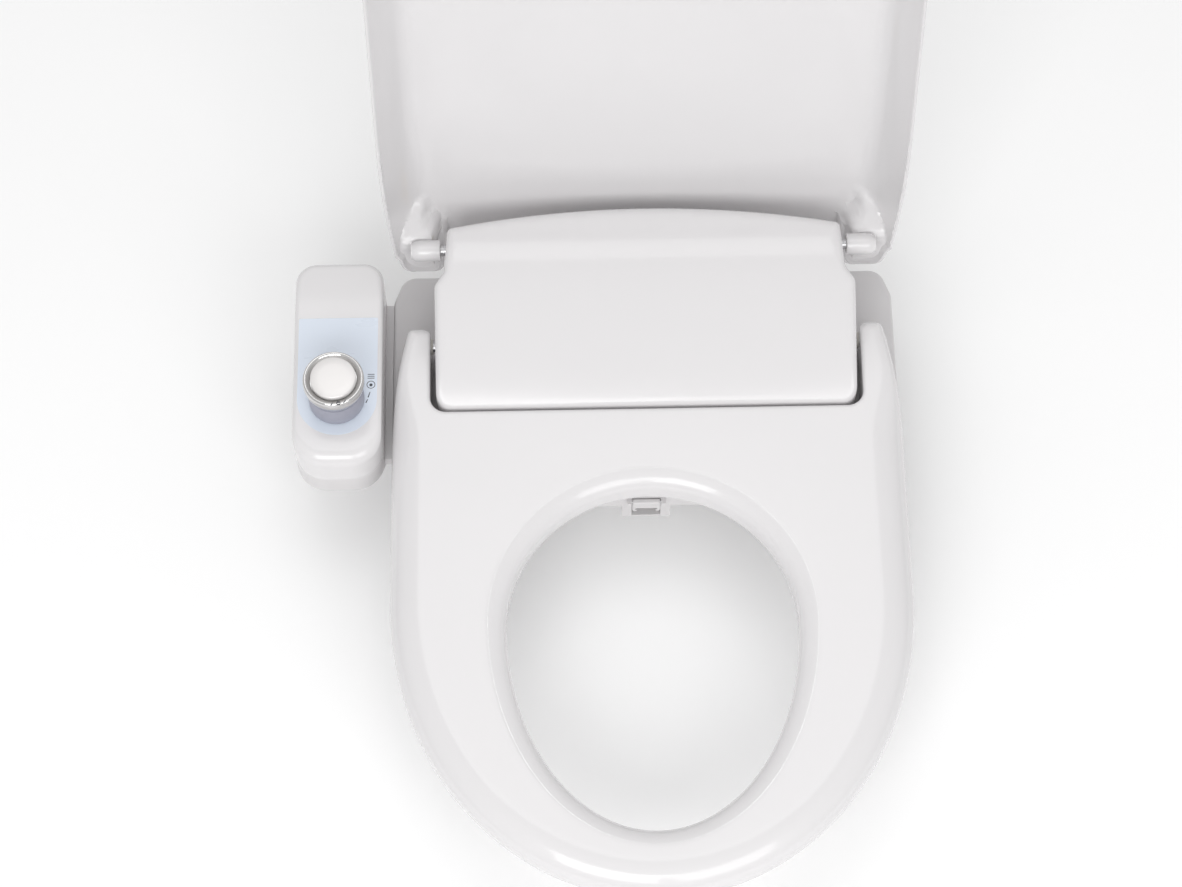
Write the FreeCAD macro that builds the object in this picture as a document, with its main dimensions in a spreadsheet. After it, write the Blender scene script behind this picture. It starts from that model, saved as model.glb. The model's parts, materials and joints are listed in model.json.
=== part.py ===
import FreeCAD, Part
import math
import os
import re

import Sketcher
from FreeCAD import Placement, Rotation, Vector

# Electric bidet seat: a washing unit bolted to the rear of a toilet bowl, with a hinged
# heated seat, a hinged lid, a sliding spray wand and a side control panel with one dial.
#
# Frame: millimetres, +Z up, -Y towards the front of the seat, +X to the right of someone
# who faces the open lid. The origin lies midway between the two fixing studs, on the
# rim plane of the bowl.

# ---------------------------------------------------------------- driving dimensions

DIMENSIONS = {
    # bowl fixing
    "stud_spacing": 140.0,
    "stud_radius": 4.0,
    "stud_drop": 60.0,
    "stud_neck_radius": 3.8,
    "stud_head_radius": 8.0,
    "plate_length": 190.0,
    "plate_width": 46.0,
    "plate_thick": 4.5,
    # chassis
    "chassis_half": "seat_half + 1",
    "chassis_rear": "cover_corner_rear + 3.6",
    "chassis_front": 155.0,
    "chassis_height": 16.0,
    "chassis_wall": 2.5,
    "wing_taper": 12.0,
    "floor_low": 5.0,
    "tray_half": "cover_half - 8.5",
    "tray_front": 92.0,
    "tray_rear": "chassis_rear - 5",
    "bay_half": 18.0,
    "bay_rear": 68.0,
    "bay_low": 19.0,
    # housing cover
    "cover_half": "seat_half - 33.5",
    "cover_rear_half": "cover_half - 10",
    "cover_step_half": "cover_half - 7.5",
    "cover_front": 96.0,
    "cover_rear": "cover_corner_rear + 14.6",
    "wand_room": 13.0563,
    "cover_corner_rear": "wand_length * cos(wand_angle * 1 deg) - wand_tip_y + wand_room",
    "cover_front_height": 50.0,
    "cover_top": 103.0,
    "cover_crown": 5.0,
    "cover_wall": 2.5,
    "cover_round": 3.0,
    # seat
    "seat_half": 190.0,
    "seat_front": 467.0,
    "seat_bend": 245.0,
    "seat_taper": 130.0,
    "seat_arm_tip": 29.0,
    "seat_arm_half": "seat_half - 12",
    "seat_arm_inner": "cover_half + 4.5",
    "seat_cutout": 98.7,
    "seat_low": 20.0,
    "seat_top": 51.0,
    "seat_parting": 25.0,
    "seat_wall": 2.5,
    "seat_pivot_y": 38.0,
    "seat_pivot_z": 38.0,
    "opening_half": 105.8,
    "opening_middle": 266.0,
    "opening_front": 421.0,
    "opening_rear": 159.0,
    "bumper_radius": 9.0,
    # lid
    "lid_half": "seat_half + 4.5",
    "lid_rear_half": "lid_half - 10.5",
    "lid_bend": 269.0,
    "lid_length": "seat_front + lid_pivot_y + 7.4",
    "lid_taper": 100.0,
    "lid_depth": 36.0,
    "lid_wall": 2.8,
    "lid_round": 17.0,
    "lid_ear_inner": "cover_rear_half + 3.9",
    "lid_ear_tail": 28.0,
    "lid_roof_tail": 15.0,
    "lid_ear_round": 17.0,
    "lid_ear_inner_round": 12.8,
    "lid_ear_recess": 5.0,
    "lid_ear_block": 4.0,
    "lid_bumper_reach": 12.2,
    "lid_open_angle": 104.3,
    "lid_pivot_y": "cover_corner_rear - 6.8",
    "lid_pivot_z": 76.2,
    "lid_boss_radius": 8.0,
    "lid_boss_inner": "cover_rear_half + 5.9",
    # hinge pins and bushes
    "pin_radius": 4.0,
    "bush_radius": 6.0,
    "hinge_fit": 0.08,
    "seat_damper_radius": 9.0,
    "lid_damper_radius": 4.8,
    "damper_length": 26.0,
    # spray wand
    "wand_x": 1.5,
    "wand_tip_y": 143.0,
    "wand_tip_z": 6.5,
    "wand_angle": 15.0,
    "wand_radius": 5.0,
    "wand_bore": 3.4,
    "wand_length": 166.0,
    "slide_gap": 0.3,
    "rack_place": 75.0,
    "gear_module": 1.0,
    "gear_teeth": 14.0,
    "gear_width": 6.0,
    "gear_backlash": 0.2,
    # wand gate
    "gate_half": 10.5,
    "gate_pivot_y": 157.6,
    "gate_pivot_z": 12.6,
    "gate_drop": 10.0,
    "gate_prong": 5.5,
    "gate_thick": 1.8,
    # control panel
    "panel_inner": "seat_half + 6.5",
    "panel_outer": "panel_inner + 66",
    "panel_front": 141.0,
    "panel_rear": 26.0,
    "panel_front_corner": 24.0,
    "panel_rear_corner": 16.0,
    "panel_low": 6.0,
    "panel_parting": 26.0,
    "panel_top": 58.0,
    "panel_wall": 2.4,
    "panel_round": 3.0,
    "label_margin": 3.4,
    "label_rear": 22.7,
    "label_thick": 0.6,
    "bridge_front": 120.0,
    "bridge_rear": 10.0,
    "bridge_top": 15.0,
    # dial
    "dial_x": "panel_inner + 33",
    "dial_y": 91.0,
    "dial_top": 96.0,
    "dial_cap_radius": 16.8,
    "dial_ring_radius": 22.5,
    "dial_skirt_radius": 20.5,
    "dial_gap": 1.0,
    "dial_shaft_radius": 3.0,
    # release button
    "button_x": "seat_half - 1.8",
    "button_y": 12.0,
    "button_length": 18.0,
    # water inlet and cord inlet
    "inlet_x": 78.0,
    "inlet_z": 30.0,
    "inlet_radius": 10.4,
    "inlet_thread_start": "cover_corner_rear + 11.6",
    "inlet_thread_length": 12.5,
    "cord_x": 84.0,
    "cord_z": 24.0,
    "cord_bore": 3.6,
    "cord_flange_radius": 8.0,
    "cord_wall": "cover_rear - (cover_rear - cover_corner_rear)"
                 " * ((cord_x - cord_flange_radius) / cover_rear_half) ^ 2",
}

doc = FreeCAD.newDocument("BidetSeat")
sheet = doc.addObject("Spreadsheet::Sheet", "Dims")
for row, alias in enumerate(DIMENSIONS, start=1):
    sheet.set(f"A{row}", alias)
    sheet.set(f"B{row}", "0")
    sheet.setAlias(f"B{row}", alias)
for row, content in enumerate(DIMENSIONS.values(), start=1):
    formula = f"={content}" if isinstance(content, str) else str(content)
    sheet.set(f"B{row}", formula)
doc.recompute()

NODES = []
RIGHT_ANGLE = 90.0
PIECE_GAP = 0.4


def dim(alias):
    """The number that a named dimension holds."""
    return float(sheet.get(alias))


def value(formula):
    """Work out a formula of named dimensions; a plain number passes through."""
    return float(sheet.evalExpression(str(formula)))


def bound(formula):
    """The formula as another object of the document has to write it."""
    def qualify(match):
        word = match.group(0)
        return f"Dims.{word}" if word in DIMENSIONS else word
    return re.sub(r"[a-z][a-z_]+", qualify, str(formula))


def node(item, name):
    """Name a finished sub-part and list it for export."""
    item.Label = name
    NODES.append(item)
    return item


# ---------------------------------------------------------------- primitives

AXIS_TURN = {
    "x": Rotation(Vector(0, 1, 0), RIGHT_ANGLE),
    "y": Rotation(Vector(1, 0, 0), -RIGHT_ANGLE),
    "z": Rotation(),
}


def block(name, x_span, y_span, z_span):
    """A box between pairs of formulas."""
    item = doc.addObject("Part::Box", name)
    spans = (("Length", "x", x_span), ("Width", "y", y_span), ("Height", "z", z_span))
    for size, axis, (low, high) in spans:
        item.setExpression(size, bound(f"({high}) - ({low})"))
        item.setExpression(f"Placement.Base.{axis}", bound(low))
    return item


def rod(name, axis, start, radius, length):
    """A cylinder from a start point along one axis of the frame."""
    item = doc.addObject("Part::Cylinder", name)
    item.Placement = Placement(Vector(), AXIS_TURN[axis])
    item.setExpression("Radius", bound(radius))
    item.setExpression("Height", bound(length))
    for letter, formula in zip("xyz", start):
        item.setExpression(f"Placement.Base.{letter}", bound(formula))
    return item


def joined(name, items):
    """One object made of several solids, touching or not."""
    item = doc.addObject("Part::MultiFuse", name)
    item.Shapes = items
    item.Refine = True
    return item


def less(name, base, tools):
    """A base with tools cut out of it."""
    item = doc.addObject("Part::Cut", name)
    item.Base = base
    item.Tool = tools[0] if len(tools) == 1 else joined(f"{name}_tools", tools)
    item.Refine = True
    return item


def tube(name, axis, start, radius, bore, length):
    """A straight tube."""
    outer = rod(f"{name}_outer", axis, start, radius, length)
    inner = rod(f"{name}_bore", axis, start, bore, length)
    return less(name, outer, [inner])


def both_sides(x_low, x_high):
    """The span on the right of the middle plane and its mirror on the left."""
    return ((x_low, x_high), (f"-({x_high})", f"-({x_low})"))


# ---------------------------------------------------------------- sketched bodies

def new_body(name):
    """An empty body."""
    return doc.addObject("PartDesign::Body", name)


def plane_sketch(body, name, role, offset="0"):
    """A sketch on one of the body's origin planes, raised by a formula."""
    sketch = body.newObject("Sketcher::SketchObject", name)
    plane = [feature for feature in body.Origin.OriginFeatures if feature.Role == role][0]
    sketch.AttachmentSupport = (plane, [""])
    sketch.MapMode = "FlatFace"
    sketch.setExpression("AttachmentOffset.Base.z", bound(offset))
    return sketch


def pin_point(sketch, element, end, point):
    """Fix one point of a sketch by its two distances from the origin."""
    for kind, formula in zip(("DistanceX", "DistanceY"), point):
        number = value(formula)
        index = sketch.addConstraint(Sketcher.Constraint(kind, -1, 1, element, end, number))
        sketch.setExpression(f"Constraints[{index}]", bound(formula))


def draw_polygon(sketch, points):
    """A closed outline of straight edges through points given as formulas."""
    numbers = [Vector(value(across), value(up), 0) for across, up in points]
    first = len(sketch.Geometry)
    count = len(points)
    for index in range(count):
        edge = Part.LineSegment(numbers[index], numbers[(index + 1) % count])
        sketch.addGeometry(edge, False)
    for index in range(count):
        following = first + (index + 1) % count
        sketch.addConstraint(Sketcher.Constraint("Coincident", first + index, 2, following, 1))
    for index, point in enumerate(points):
        pin_point(sketch, first + index, 1, point)


def draw_circle(sketch, centre, radius):
    """A circle whose centre and radius are formulas."""
    middle = Vector(value(centre[0]), value(centre[1]), 0)
    circle = Part.Circle(middle, Vector(0, 0, 1), value(radius))
    element = sketch.addGeometry(circle, False)
    pin_point(sketch, element, 3, centre)
    index = sketch.addConstraint(Sketcher.Constraint("Radius", element, value(radius)))
    sketch.setExpression(f"Constraints[{index}]", bound(radius))


def pad(body, sketch, length, reverse=False):
    """Grow a solid from a sketch."""
    feature = body.newObject("PartDesign::Pad", f"{sketch.Name}_pad")
    feature.Profile = sketch
    feature.Reversed = reverse
    feature.setExpression("Length", bound(length))
    doc.recompute()
    return feature


def pocket(body, sketch, depth, reverse=False):
    """Cut a sketch out of the body, and make sure that it cuts."""
    before = body.Shape.Volume
    feature = body.newObject("PartDesign::Pocket", f"{sketch.Name}_pocket")
    feature.Profile = sketch
    feature.Reversed = reverse
    feature.setExpression("Length", bound(depth))
    doc.recompute()
    if not body.Shape.Volume < before:
        raise RuntimeError(f"{feature.Name} cuts nothing")
    return feature


def spun(name, points, axis="V_Axis", role="XZ_Plane"):
    """A body of revolution about the vertical axis of its own sketch."""
    body = new_body(name)
    sketch = plane_sketch(body, f"{name}_profile", role)
    draw_polygon(sketch, points)
    feature = body.newObject("PartDesign::Revolution", f"{name}_turn")
    feature.Profile = sketch
    feature.ReferenceAxis = (sketch, [axis])
    doc.recompute()
    return body


def round_edges(body, name, radius, chosen):
    """Fillet the edges of a body that a test picks."""
    tip = body.Tip
    edges = [f"Edge{index}" for index, edge in enumerate(tip.Shape.Edges, start=1)
             if chosen(edge)]
    feature = body.newObject("PartDesign::Fillet", name)
    feature.Base = (tip, edges)
    feature.setExpression("Radius", bound(radius))
    doc.recompute()
    return feature


def is_upright(edge):
    """True for a straight edge that runs along Z."""
    span = edge.BoundBox
    return span.ZLength > 0.5 and span.XLength < 1e-4 and span.YLength < 1e-4


def at_height(height, tolerance=0.01):
    """A test for edges that lie wholly at one height."""
    def test(edge):
        span = edge.BoundBox
        return abs(span.ZMin - height) < tolerance and abs(span.ZMax - height) < tolerance
    return test


def place(body, point, turn=None):
    """Put a body at a point given as formulas."""
    body.Placement = Placement(Vector(), turn or Rotation())
    for letter, formula in zip("xyz", point):
        body.setExpression(f"Placement.Base.{letter}", bound(formula))
    return body


# ---------------------------------------------------------------- free shapes

def feature_of(name, shape, placement=None):
    """Keep a shape made by formula as an object of the document."""
    item = doc.addObject("Part::Feature", name)
    item.Shape = shape
    if placement is not None:
        item.Placement = placement
    return item


def segment(start, end):
    """A straight edge in the XY plane."""
    return Part.LineSegment(Vector(*start, 0), Vector(*end, 0)).toShape()


def arc_through(start, middle, end):
    """A circular edge through three points of the XY plane."""
    return Part.Arc(Vector(*start, 0), Vector(*middle, 0), Vector(*end, 0)).toShape()


def half_ellipse(centre_y, across, along, first, last):
    """Part of an ellipse about the middle plane, from one angle to another, in radians."""
    middle = Vector(0, centre_y, 0)
    if across >= along:
        curve = Part.Ellipse(middle, across, along)
        return curve.toShape(first, last)
    curve = Part.Ellipse(middle + Vector(0, along, 0), middle + Vector(across, 0, 0), middle)
    quarter = math.pi / 2
    return curve.toShape(first - quarter, last - quarter)


def sheet_of(edges):
    """A flat face bounded by edges given in order."""
    return Part.Face(Part.Wire(Part.__sortEdges__(edges)))


def raised(face, low, high):
    """A prism of a face between two heights."""
    prism = face.extrude(Vector(0, 0, high - low))
    prism.translate(Vector(0, 0, low))
    return prism


def edge_mid(edge):
    """The point half way along an edge."""
    return edge.valueAt((edge.FirstParameter + edge.LastParameter) / 2)


def rounded(solid, radius, chosen):
    """Fillet the edges that a test on their middle point picks."""
    edges = [edge for edge in solid.Edges if chosen(edge, edge_mid(edge))]
    return solid.makeFillet(radius, edges)


def level(height):
    """A test for edges that lie at one height."""
    def test(edge, middle):
        return edge.BoundBox.ZLength < 0.01 and abs(middle.z - height) < 0.01
    return test


# ---------------------------------------------------------------- chassis and fixing

def build_fixing():
    """The plate that bolts to the bowl, and the two studs that hang from it."""
    half = "plate_length / 2"
    plate = new_body("mounting_plate")
    outline = plane_sketch(plate, "plate_outline", "XY_Plane")
    draw_polygon(outline, [(f"-{half}", "-plate_width / 2"), (half, "-plate_width / 2"),
                           (half, "plate_width / 2"), (f"-{half}", "plate_width / 2")])
    pad(plate, outline, "plate_thick")
    round_edges(plate, "plate_corners", "plate_width / 5", is_upright)
    holes = plane_sketch(plate, "plate_holes", "XY_Plane")
    heads = plane_sketch(plate, "plate_heads", "XY_Plane", "plate_thick")
    for side in ("", "-"):
        draw_circle(holes, (f"{side}stud_spacing / 2", "0"), "stud_radius + 0.2")
        draw_circle(heads, (f"{side}stud_spacing / 2", "0"), "stud_head_radius + 0.2")
    pocket(plate, holes, "plate_thick", reverse=True)
    pocket(plate, heads, "plate_thick / 2")
    node(plate, "mounting_plate")

    pieces = []
    for side in ("", "-"):
        middle = f"{side}stud_spacing / 2"
        pieces.append(rod("stud_thread", "z", (middle, "0", "-stud_drop"), "stud_radius",
                          "stud_drop"))
        pieces.append(rod("stud_neck", "z", (middle, "0", "0"), "stud_neck_radius",
                          "plate_thick - 0.5"))
        pieces.append(rod("stud_head", "z", (middle, "0", "plate_thick / 2"),
                          "stud_head_radius", "plate_thick / 2 - 0.5"))
    node(joined("fixing_studs", pieces), "fixing_studs")


FOOT_PLACES = (("118", "14"), ("-118", "14"), ("118", "-58"), ("-118", "-58"))


def build_chassis():
    """The tray that carries everything: side wings, a wand bay and hinge posts."""
    half = "chassis_half"
    body = new_body("chassis")
    outline = plane_sketch(body, "chassis_outline", "XY_Plane")
    draw_polygon(outline, [
        (f"-{half}", "-chassis_front"), (half, "-chassis_front"), (half, "wing_taper"),
        (f"{half} - 8", "chassis_rear"), (f"-{half} + 8", "chassis_rear"),
        (f"-{half}", "wing_taper")])
    pad(body, outline, "chassis_height")
    round_edges(body, "chassis_corners", "13", is_upright)
    round_edges(body, "chassis_brow", "2.2", at_height(dim("chassis_height")))

    tray = plane_sketch(body, "chassis_tray", "XY_Plane", "chassis_height")
    draw_polygon(tray, [("-tray_half", "-tray_front"), ("tray_half", "-tray_front"),
                        ("tray_half", "tray_rear"), ("-tray_half", "tray_rear")])
    pocket(body, tray, "chassis_height - floor_low - chassis_wall")

    hollow = plane_sketch(body, "chassis_hollow", "XY_Plane")
    draw_polygon(hollow, [("-tray_half", "-tray_front"), ("tray_half", "-tray_front"),
                          ("tray_half", "tray_rear"), ("-tray_half", "tray_rear")])
    for side in ("", "-"):
        inner = f"{side}(tray_half + chassis_wall)"
        outer = f"{side}({half} - 2 * chassis_wall)"
        rear = f"{side}({half} - 12)"
        draw_polygon(hollow, [(inner, "-chassis_front + chassis_wall"),
                              (outer, "-chassis_front + chassis_wall"),
                              (outer, "wing_taper - 4"), (rear, "chassis_rear - 6"),
                              (inner, "chassis_rear - 6")])
    pocket(body, hollow, "floor_low", reverse=True)
    deep = plane_sketch(body, "wing_hollow", "XY_Plane")
    for side in ("", "-"):
        inner = f"{side}(tray_half + chassis_wall)"
        outer = f"{side}({half} - 2 * chassis_wall)"
        rear = f"{side}({half} - 12)"
        draw_polygon(deep, [(inner, "-chassis_front + chassis_wall"),
                            (outer, "-chassis_front + chassis_wall"),
                            (outer, "wing_taper - 4"), (rear, "chassis_rear - 6"),
                            (inner, "chassis_rear - 6")])
        bay_edge = f"{side}(bay_half + 12)"
        draw_polygon(deep, [(bay_edge, "-chassis_front + chassis_wall"),
                            (f"{side}tray_half", "-chassis_front + chassis_wall"),
                            (f"{side}tray_half", "-tray_front - chassis_wall"),
                            (bay_edge, "-tray_front - chassis_wall")])
    pocket(body, deep, "chassis_height - chassis_wall", reverse=True)

    middle = "-wand_x"
    bay_span = (f"{middle} - bay_half", f"{middle} + bay_half")
    bay = [block("bay_front", bay_span, ("-chassis_front", "-tray_front"),
                 ("-bay_low", "chassis_height")),
           block("bay_back", bay_span, ("-tray_front - 0.5", "-bay_rear"),
                 ("-bay_low", "floor_low + chassis_wall"))]
    lugs = []
    for side in ("", "-"):
        inner = f"{middle} + {side}(gate_half + 0.5)"
        outer = f"{middle} + {side}(gate_half + 3.5)"
        span = (inner, outer) if side == "" else (outer, inner)
        lugs.append(block("gate_lug", span, ("-gate_pivot_y - 2.6", "-chassis_front"),
                          ("gate_pivot_z - 2.6", "chassis_height - 0.6")))
    posts = []
    for low, high in both_sides("cover_half - 38.5", "cover_half - 10.5"):
        posts.append(block("seat_damper_post", (low, high),
                           ("-seat_pivot_y - 11", "-seat_pivot_y + 11"),
                           ("floor_low", "seat_pivot_z - 4")))
    for low, high in both_sides("cover_half - 48.5", "cover_half - 26.5"):
        posts.append(block("lid_damper_post", (low, high),
                           ("lid_pivot_y - 6", "lid_pivot_y + 4.6"),
                           ("floor_low", "lid_pivot_z - 2")))
    ribs = [block("button_rib", ("button_x - 19", "button_x - 17"),
                  ("-button_y - 12", "-button_y + 12"), ("2", "chassis_height - 1"))]
    whole = joined("chassis_whole", [body] + bay + lugs + posts + ribs)

    wall = "chassis_wall"
    cuts = [
        block("bay_inner", (f"{middle} - bay_half + {wall}", f"{middle} + bay_half - {wall}"),
              (f"-chassis_front + {wall}", "-tray_front + 0.01"),
              (f"-bay_low + {wall}", "chassis_height - 1.8")),
        block("bay_well", (f"{middle} - bay_half + {wall}", f"{middle} + bay_half - {wall}"),
              ("-tray_front", f"-bay_rear - {wall}"), (f"-bay_low + {wall}", "chassis_height")),
        block("bay_mouth", (f"{middle} - gate_half - 0.3", f"{middle} + gate_half + 0.3"),
              ("-chassis_front - 1", f"-chassis_front + {wall} + 1"), (f"-bay_low + {wall}", "10")),
        block("bay_drain", (f"{middle} - 9", f"{middle} + 9"),
              ("-chassis_front + 8", "-chassis_front + 40"), ("-bay_low - 1", f"-bay_low + {wall} + 1")),
        rod("gate_pin_hole", "x", (f"{middle} - gate_half - 5", "-gate_pivot_y", "gate_pivot_z"),
            "1.05", "2 * gate_half + 10"),
        block("button_hole", ("button_x - 10", "button_x + 6"),
              ("-button_y - button_length / 2", "-button_y + button_length / 2"),
              ("3.5", "11.5")),
    ]
    for low, high in both_sides("cover_half - 39.5", "cover_half - 8.6"):
        cuts.append(rod("seat_damper_seat", "x", (low, "-seat_pivot_y", "seat_pivot_z"),
                        "seat_damper_radius + 0.1", f"({high}) - ({low})"))
    for low, high in both_sides("cover_half - 49.5", "cover_half - 25.5"):
        cuts.append(rod("lid_damper_seat", "x", (low, "lid_pivot_y", "lid_pivot_z"),
                        "lid_damper_radius + 0.1", f"({high}) - ({low})"))
    for across, along in SCREW_PLACES:
        cuts.append(rod("cover_screw_hole", "z", (across, along, "floor_low - 1"), "1.7",
                        "chassis_wall + 2"))
    for across, along in BRIDGE_SCREWS:
        cuts.append(rod("bridge_screw_hole", "x", ("-chassis_half - 1", across, along), "1.6", "9"))
    node(less("chassis_cut", whole, cuts), "base_chassis")

    feet = [rod("foot", "z", (across, along, "0"), "9", "floor_low")
            for across, along in FOOT_PLACES]
    node(joined("chassis_feet", feet), "chassis_feet")


SCREW_PLACES = (("132", "-76"), ("-132", "-76"), ("100", "20"), ("-100", "20"))
BRIDGE_SCREWS = (("-20", "11.5"), ("-95", "11.5"))


# ---------------------------------------------------------------- housing cover

def cover_plan(inset):
    """Plan outline of the housing: wide at the front, stepped in beside the lid hinges."""
    half = dim("cover_half") - inset
    step = dim("cover_step_half") - inset
    rear_half = dim("cover_rear_half") - inset
    front = -dim("cover_front") + inset
    rear = dim("cover_rear") - inset
    corner = dim("cover_corner_rear") - inset
    step_start = -14.0
    step_end = -3.0
    right = [(half, front), (half, step_start), (step, step_end), (rear_half, corner)]
    edges = []
    for side in (1, -1):
        points = [(side * across, along) for across, along in right]
        for first, second in zip(points, points[1:]):
            edges.append(segment(first, second))
    edges.append(segment((-half, front), (half, front)))
    edges.append(arc_through((rear_half, corner), (0, rear), (-rear_half, corner)))
    return sheet_of(edges)


def cover_side(inset):
    """Side profile in Y and Z: an upright front, a crowned slope and an upright back."""
    low = dim("chassis_height") - (5.0 if inset else 0.0)
    front = -dim("cover_front") + inset
    brow = (front, dim("cover_front_height") - inset)
    ridge = (dim("cover_corner_rear") - 19.0, dim("cover_top") - 1.0 - inset)
    back = (dim("cover_rear") + 4.0, dim("cover_top") - 3.0 - inset)
    crown = dim("cover_crown")
    across = ridge[0] - brow[0]
    climb = ridge[1] - brow[1]
    chord = math.hypot(across, climb)
    bulge = ((brow[0] + ridge[0]) / 2 - crown * climb / chord,
             (brow[1] + ridge[1]) / 2 + crown * across / chord)
    edges = [
        segment((front, low), brow),
        arc_through(brow, bulge, ridge),
        segment(ridge, back),
        segment(back, (back[0], low)),
        segment((back[0], low), (front, low)),
    ]
    return sheet_of(edges)


def cover_solid(inset):
    """The housing's outer form, or its inside when inset by the wall."""
    low = dim("chassis_height") - (5.0 if inset else 0.0)
    high = dim("cover_top") + 10.0
    plan = raised(cover_plan(inset), low, high)
    profile = cover_side(inset)
    reach = dim("cover_half") + 10.0
    profile.rotate(Vector(), Vector(1, 0, 0), RIGHT_ANGLE)
    profile.rotate(Vector(), Vector(0, 0, 1), RIGHT_ANGLE)
    bar = profile.extrude(Vector(2 * reach, 0, 0))
    bar.translate(Vector(-reach, 0, 0))
    solid = plan.common(bar)
    solid = solid.removeSplitter()
    corner = dim("cover_corner_rear") - inset - 0.01
    solid = rounded(solid, 11.0 - inset, lambda edge, middle: is_upright(edge)
                    and middle.y < corner)
    solid = rounded(solid, 5.0 - inset, lambda edge, middle: is_upright(edge)
                    and middle.y > corner)
    if inset:
        return solid
    return solid.makeFillet(dim("cover_round"), rim_edges(solid))


def faces_up(face):
    """True for a face that looks mostly upwards."""
    low_u, high_u, low_v, high_v = face.ParameterRange
    return face.normalAt((low_u + high_u) / 2, (low_v + high_v) / 2).z > 0.5


def rim_edges(solid):
    """The edges where the upper faces of a solid meet its walls."""
    upper = [face for face in solid.Faces if faces_up(face)]
    rim = []
    for edge in solid.Edges:
        owners = [face for face in upper if any(edge.isSame(side) for side in face.Edges)]
        if len(owners) == 1:
            rim.append(edge)
    return rim


def build_cover():
    """The moulded housing with screw bosses and openings for the hinges and fittings."""
    outer = cover_solid(0.0)
    inner = cover_solid(dim("cover_wall"))
    shell = outer.cut(inner)
    low = dim("floor_low") + dim("chassis_wall")
    for across, along in SCREW_PLACES:
        spot = Vector(value(across), value(along), low)
        boss = Part.makeCylinder(4.0, dim("cover_top"), spot)
        pilot = Part.makeCylinder(1.4, 22.0, spot)
        inside = boss.common(outer.fuse(raised(cover_plan(dim("cover_wall")), low,
                                               dim("chassis_height"))))
        shell = shell.fuse(inside).cut(pilot)
    half = dim("cover_half")
    length = 2 * half
    across = Vector(1, 0, 0)
    seat_axis = Vector(-half, -dim("seat_pivot_y"), dim("seat_pivot_z"))
    lid_axis = Vector(-half, dim("lid_pivot_y"), dim("lid_pivot_z"))
    for spot in (seat_axis, lid_axis):
        shell = shell.cut(Part.makeCylinder(dim("pin_radius") + PIECE_GAP, length, spot, across))
    back = Vector(0, 1, 0)
    inlet = Vector(-dim("inlet_x"), dim("cover_corner_rear") - 6, dim("inlet_z"))
    shell = shell.cut(Part.makeCylinder(dim("inlet_radius") + PIECE_GAP, 30, inlet, back))
    cord = Vector(dim("cord_x"), dim("cover_corner_rear") - 6, dim("cord_z"))
    shell = shell.cut(Part.makeCylinder(6.2, 30, cord, back))
    node(feature_of("housing_cover", shell), "housing_cover")

    pieces = []
    for across, along in SCREW_PLACES:
        pieces.append(rod("cover_screw_shank", "z", (across, along, "floor_low"), "1.4", "20"))
        pieces.append(rod("cover_screw_head", "z", (across, along, "floor_low - 2.2"), "3.2", "2.2"))
    node(joined("cover_screws", pieces), "cover_screws")


# ---------------------------------------------------------------- seat

def seat_plan(inset):
    """Plan of the seat: a D with two rear arms that flank the housing."""
    half = dim("seat_half") - inset
    bend = -dim("seat_bend")
    front_reach = dim("seat_front") - dim("seat_bend") - inset
    taper = -dim("seat_taper")
    tip = -dim("seat_arm_tip") - inset
    tip_half = dim("seat_arm_half") - inset
    inner = dim("seat_arm_inner") + inset
    cutout = -dim("seat_cutout") - inset
    radius = (half - tip_half) / 2 + (tip - taper) ** 2 / (2 * (half - tip_half))
    middle_y = (taper + tip) / 2
    middle_half = half - radius + math.sqrt(radius ** 2 - (middle_y - taper) ** 2)
    edges = [half_ellipse(bend, half, front_reach, -math.pi, 0.0)]
    for side in (1, -1):
        edges.append(segment((side * half, bend), (side * half, taper)))
        edges.append(arc_through((side * half, taper), (side * middle_half, middle_y),
                                 (side * tip_half, tip)))
        edges.append(segment((side * tip_half, tip), (side * inner, tip)))
        edges.append(segment((side * inner, tip), (side * inner, cutout)))
    edges.append(segment((-inner, cutout), (inner, cutout)))
    return sheet_of(edges)


def opening_plan(grow):
    """Plan of the seat opening: two half ellipses that share one width."""
    half = dim("opening_half") + grow
    middle = -dim("opening_middle")
    ahead = dim("opening_front") - dim("opening_middle") + grow
    behind = dim("opening_middle") - dim("opening_rear") + grow
    edges = [half_ellipse(middle, half, ahead, -math.pi, 0.0),
             half_ellipse(middle, half, behind, 0.0, math.pi)]
    return sheet_of(edges)


def seat_solid(inset, low, high):
    """The seat ring between two heights, with rolled top edges."""
    ring = raised(seat_plan(inset), low, high)
    cutout = -dim("seat_cutout") - inset
    inner = dim("seat_arm_inner") + inset

    def cutout_corner(edge, middle):
        return is_upright(edge) and abs(middle.y - cutout) < 0.01

    def arm_corner(edge, middle):
        return is_upright(edge) and middle.y > -dim("seat_arm_tip") - inset - 0.01

    ring = rounded(ring, 12.0 + inset, cutout_corner)
    ring = rounded(ring, 5.5 - inset, arm_corner)
    roll = 7.0 - inset
    ring = rounded(ring, roll, level(high))
    hole = raised(opening_plan(inset), low - 1, high + 1)
    ring = ring.cut(hole)
    opening_roll = 11.0 - inset

    def opening_edge(edge, middle):
        near = abs(middle.z - high) < 0.01 and edge.BoundBox.ZLength < 0.01
        return near and abs(middle.x) < inner - 30 and middle.y < cutout - 20

    return rounded(ring, opening_roll, opening_edge)


SEAT_SCREWS = ((150.0, -130.0), (148.0, -300.0), (60.0, -440.0))
BUMPER_PLACES = ((150.0, -215.0), (112.0, -385.0))


def mirrored(places):
    """Each place and its mirror across the middle plane."""
    return [(side * across, along) for across, along in places for side in (1, -1)]


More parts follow.
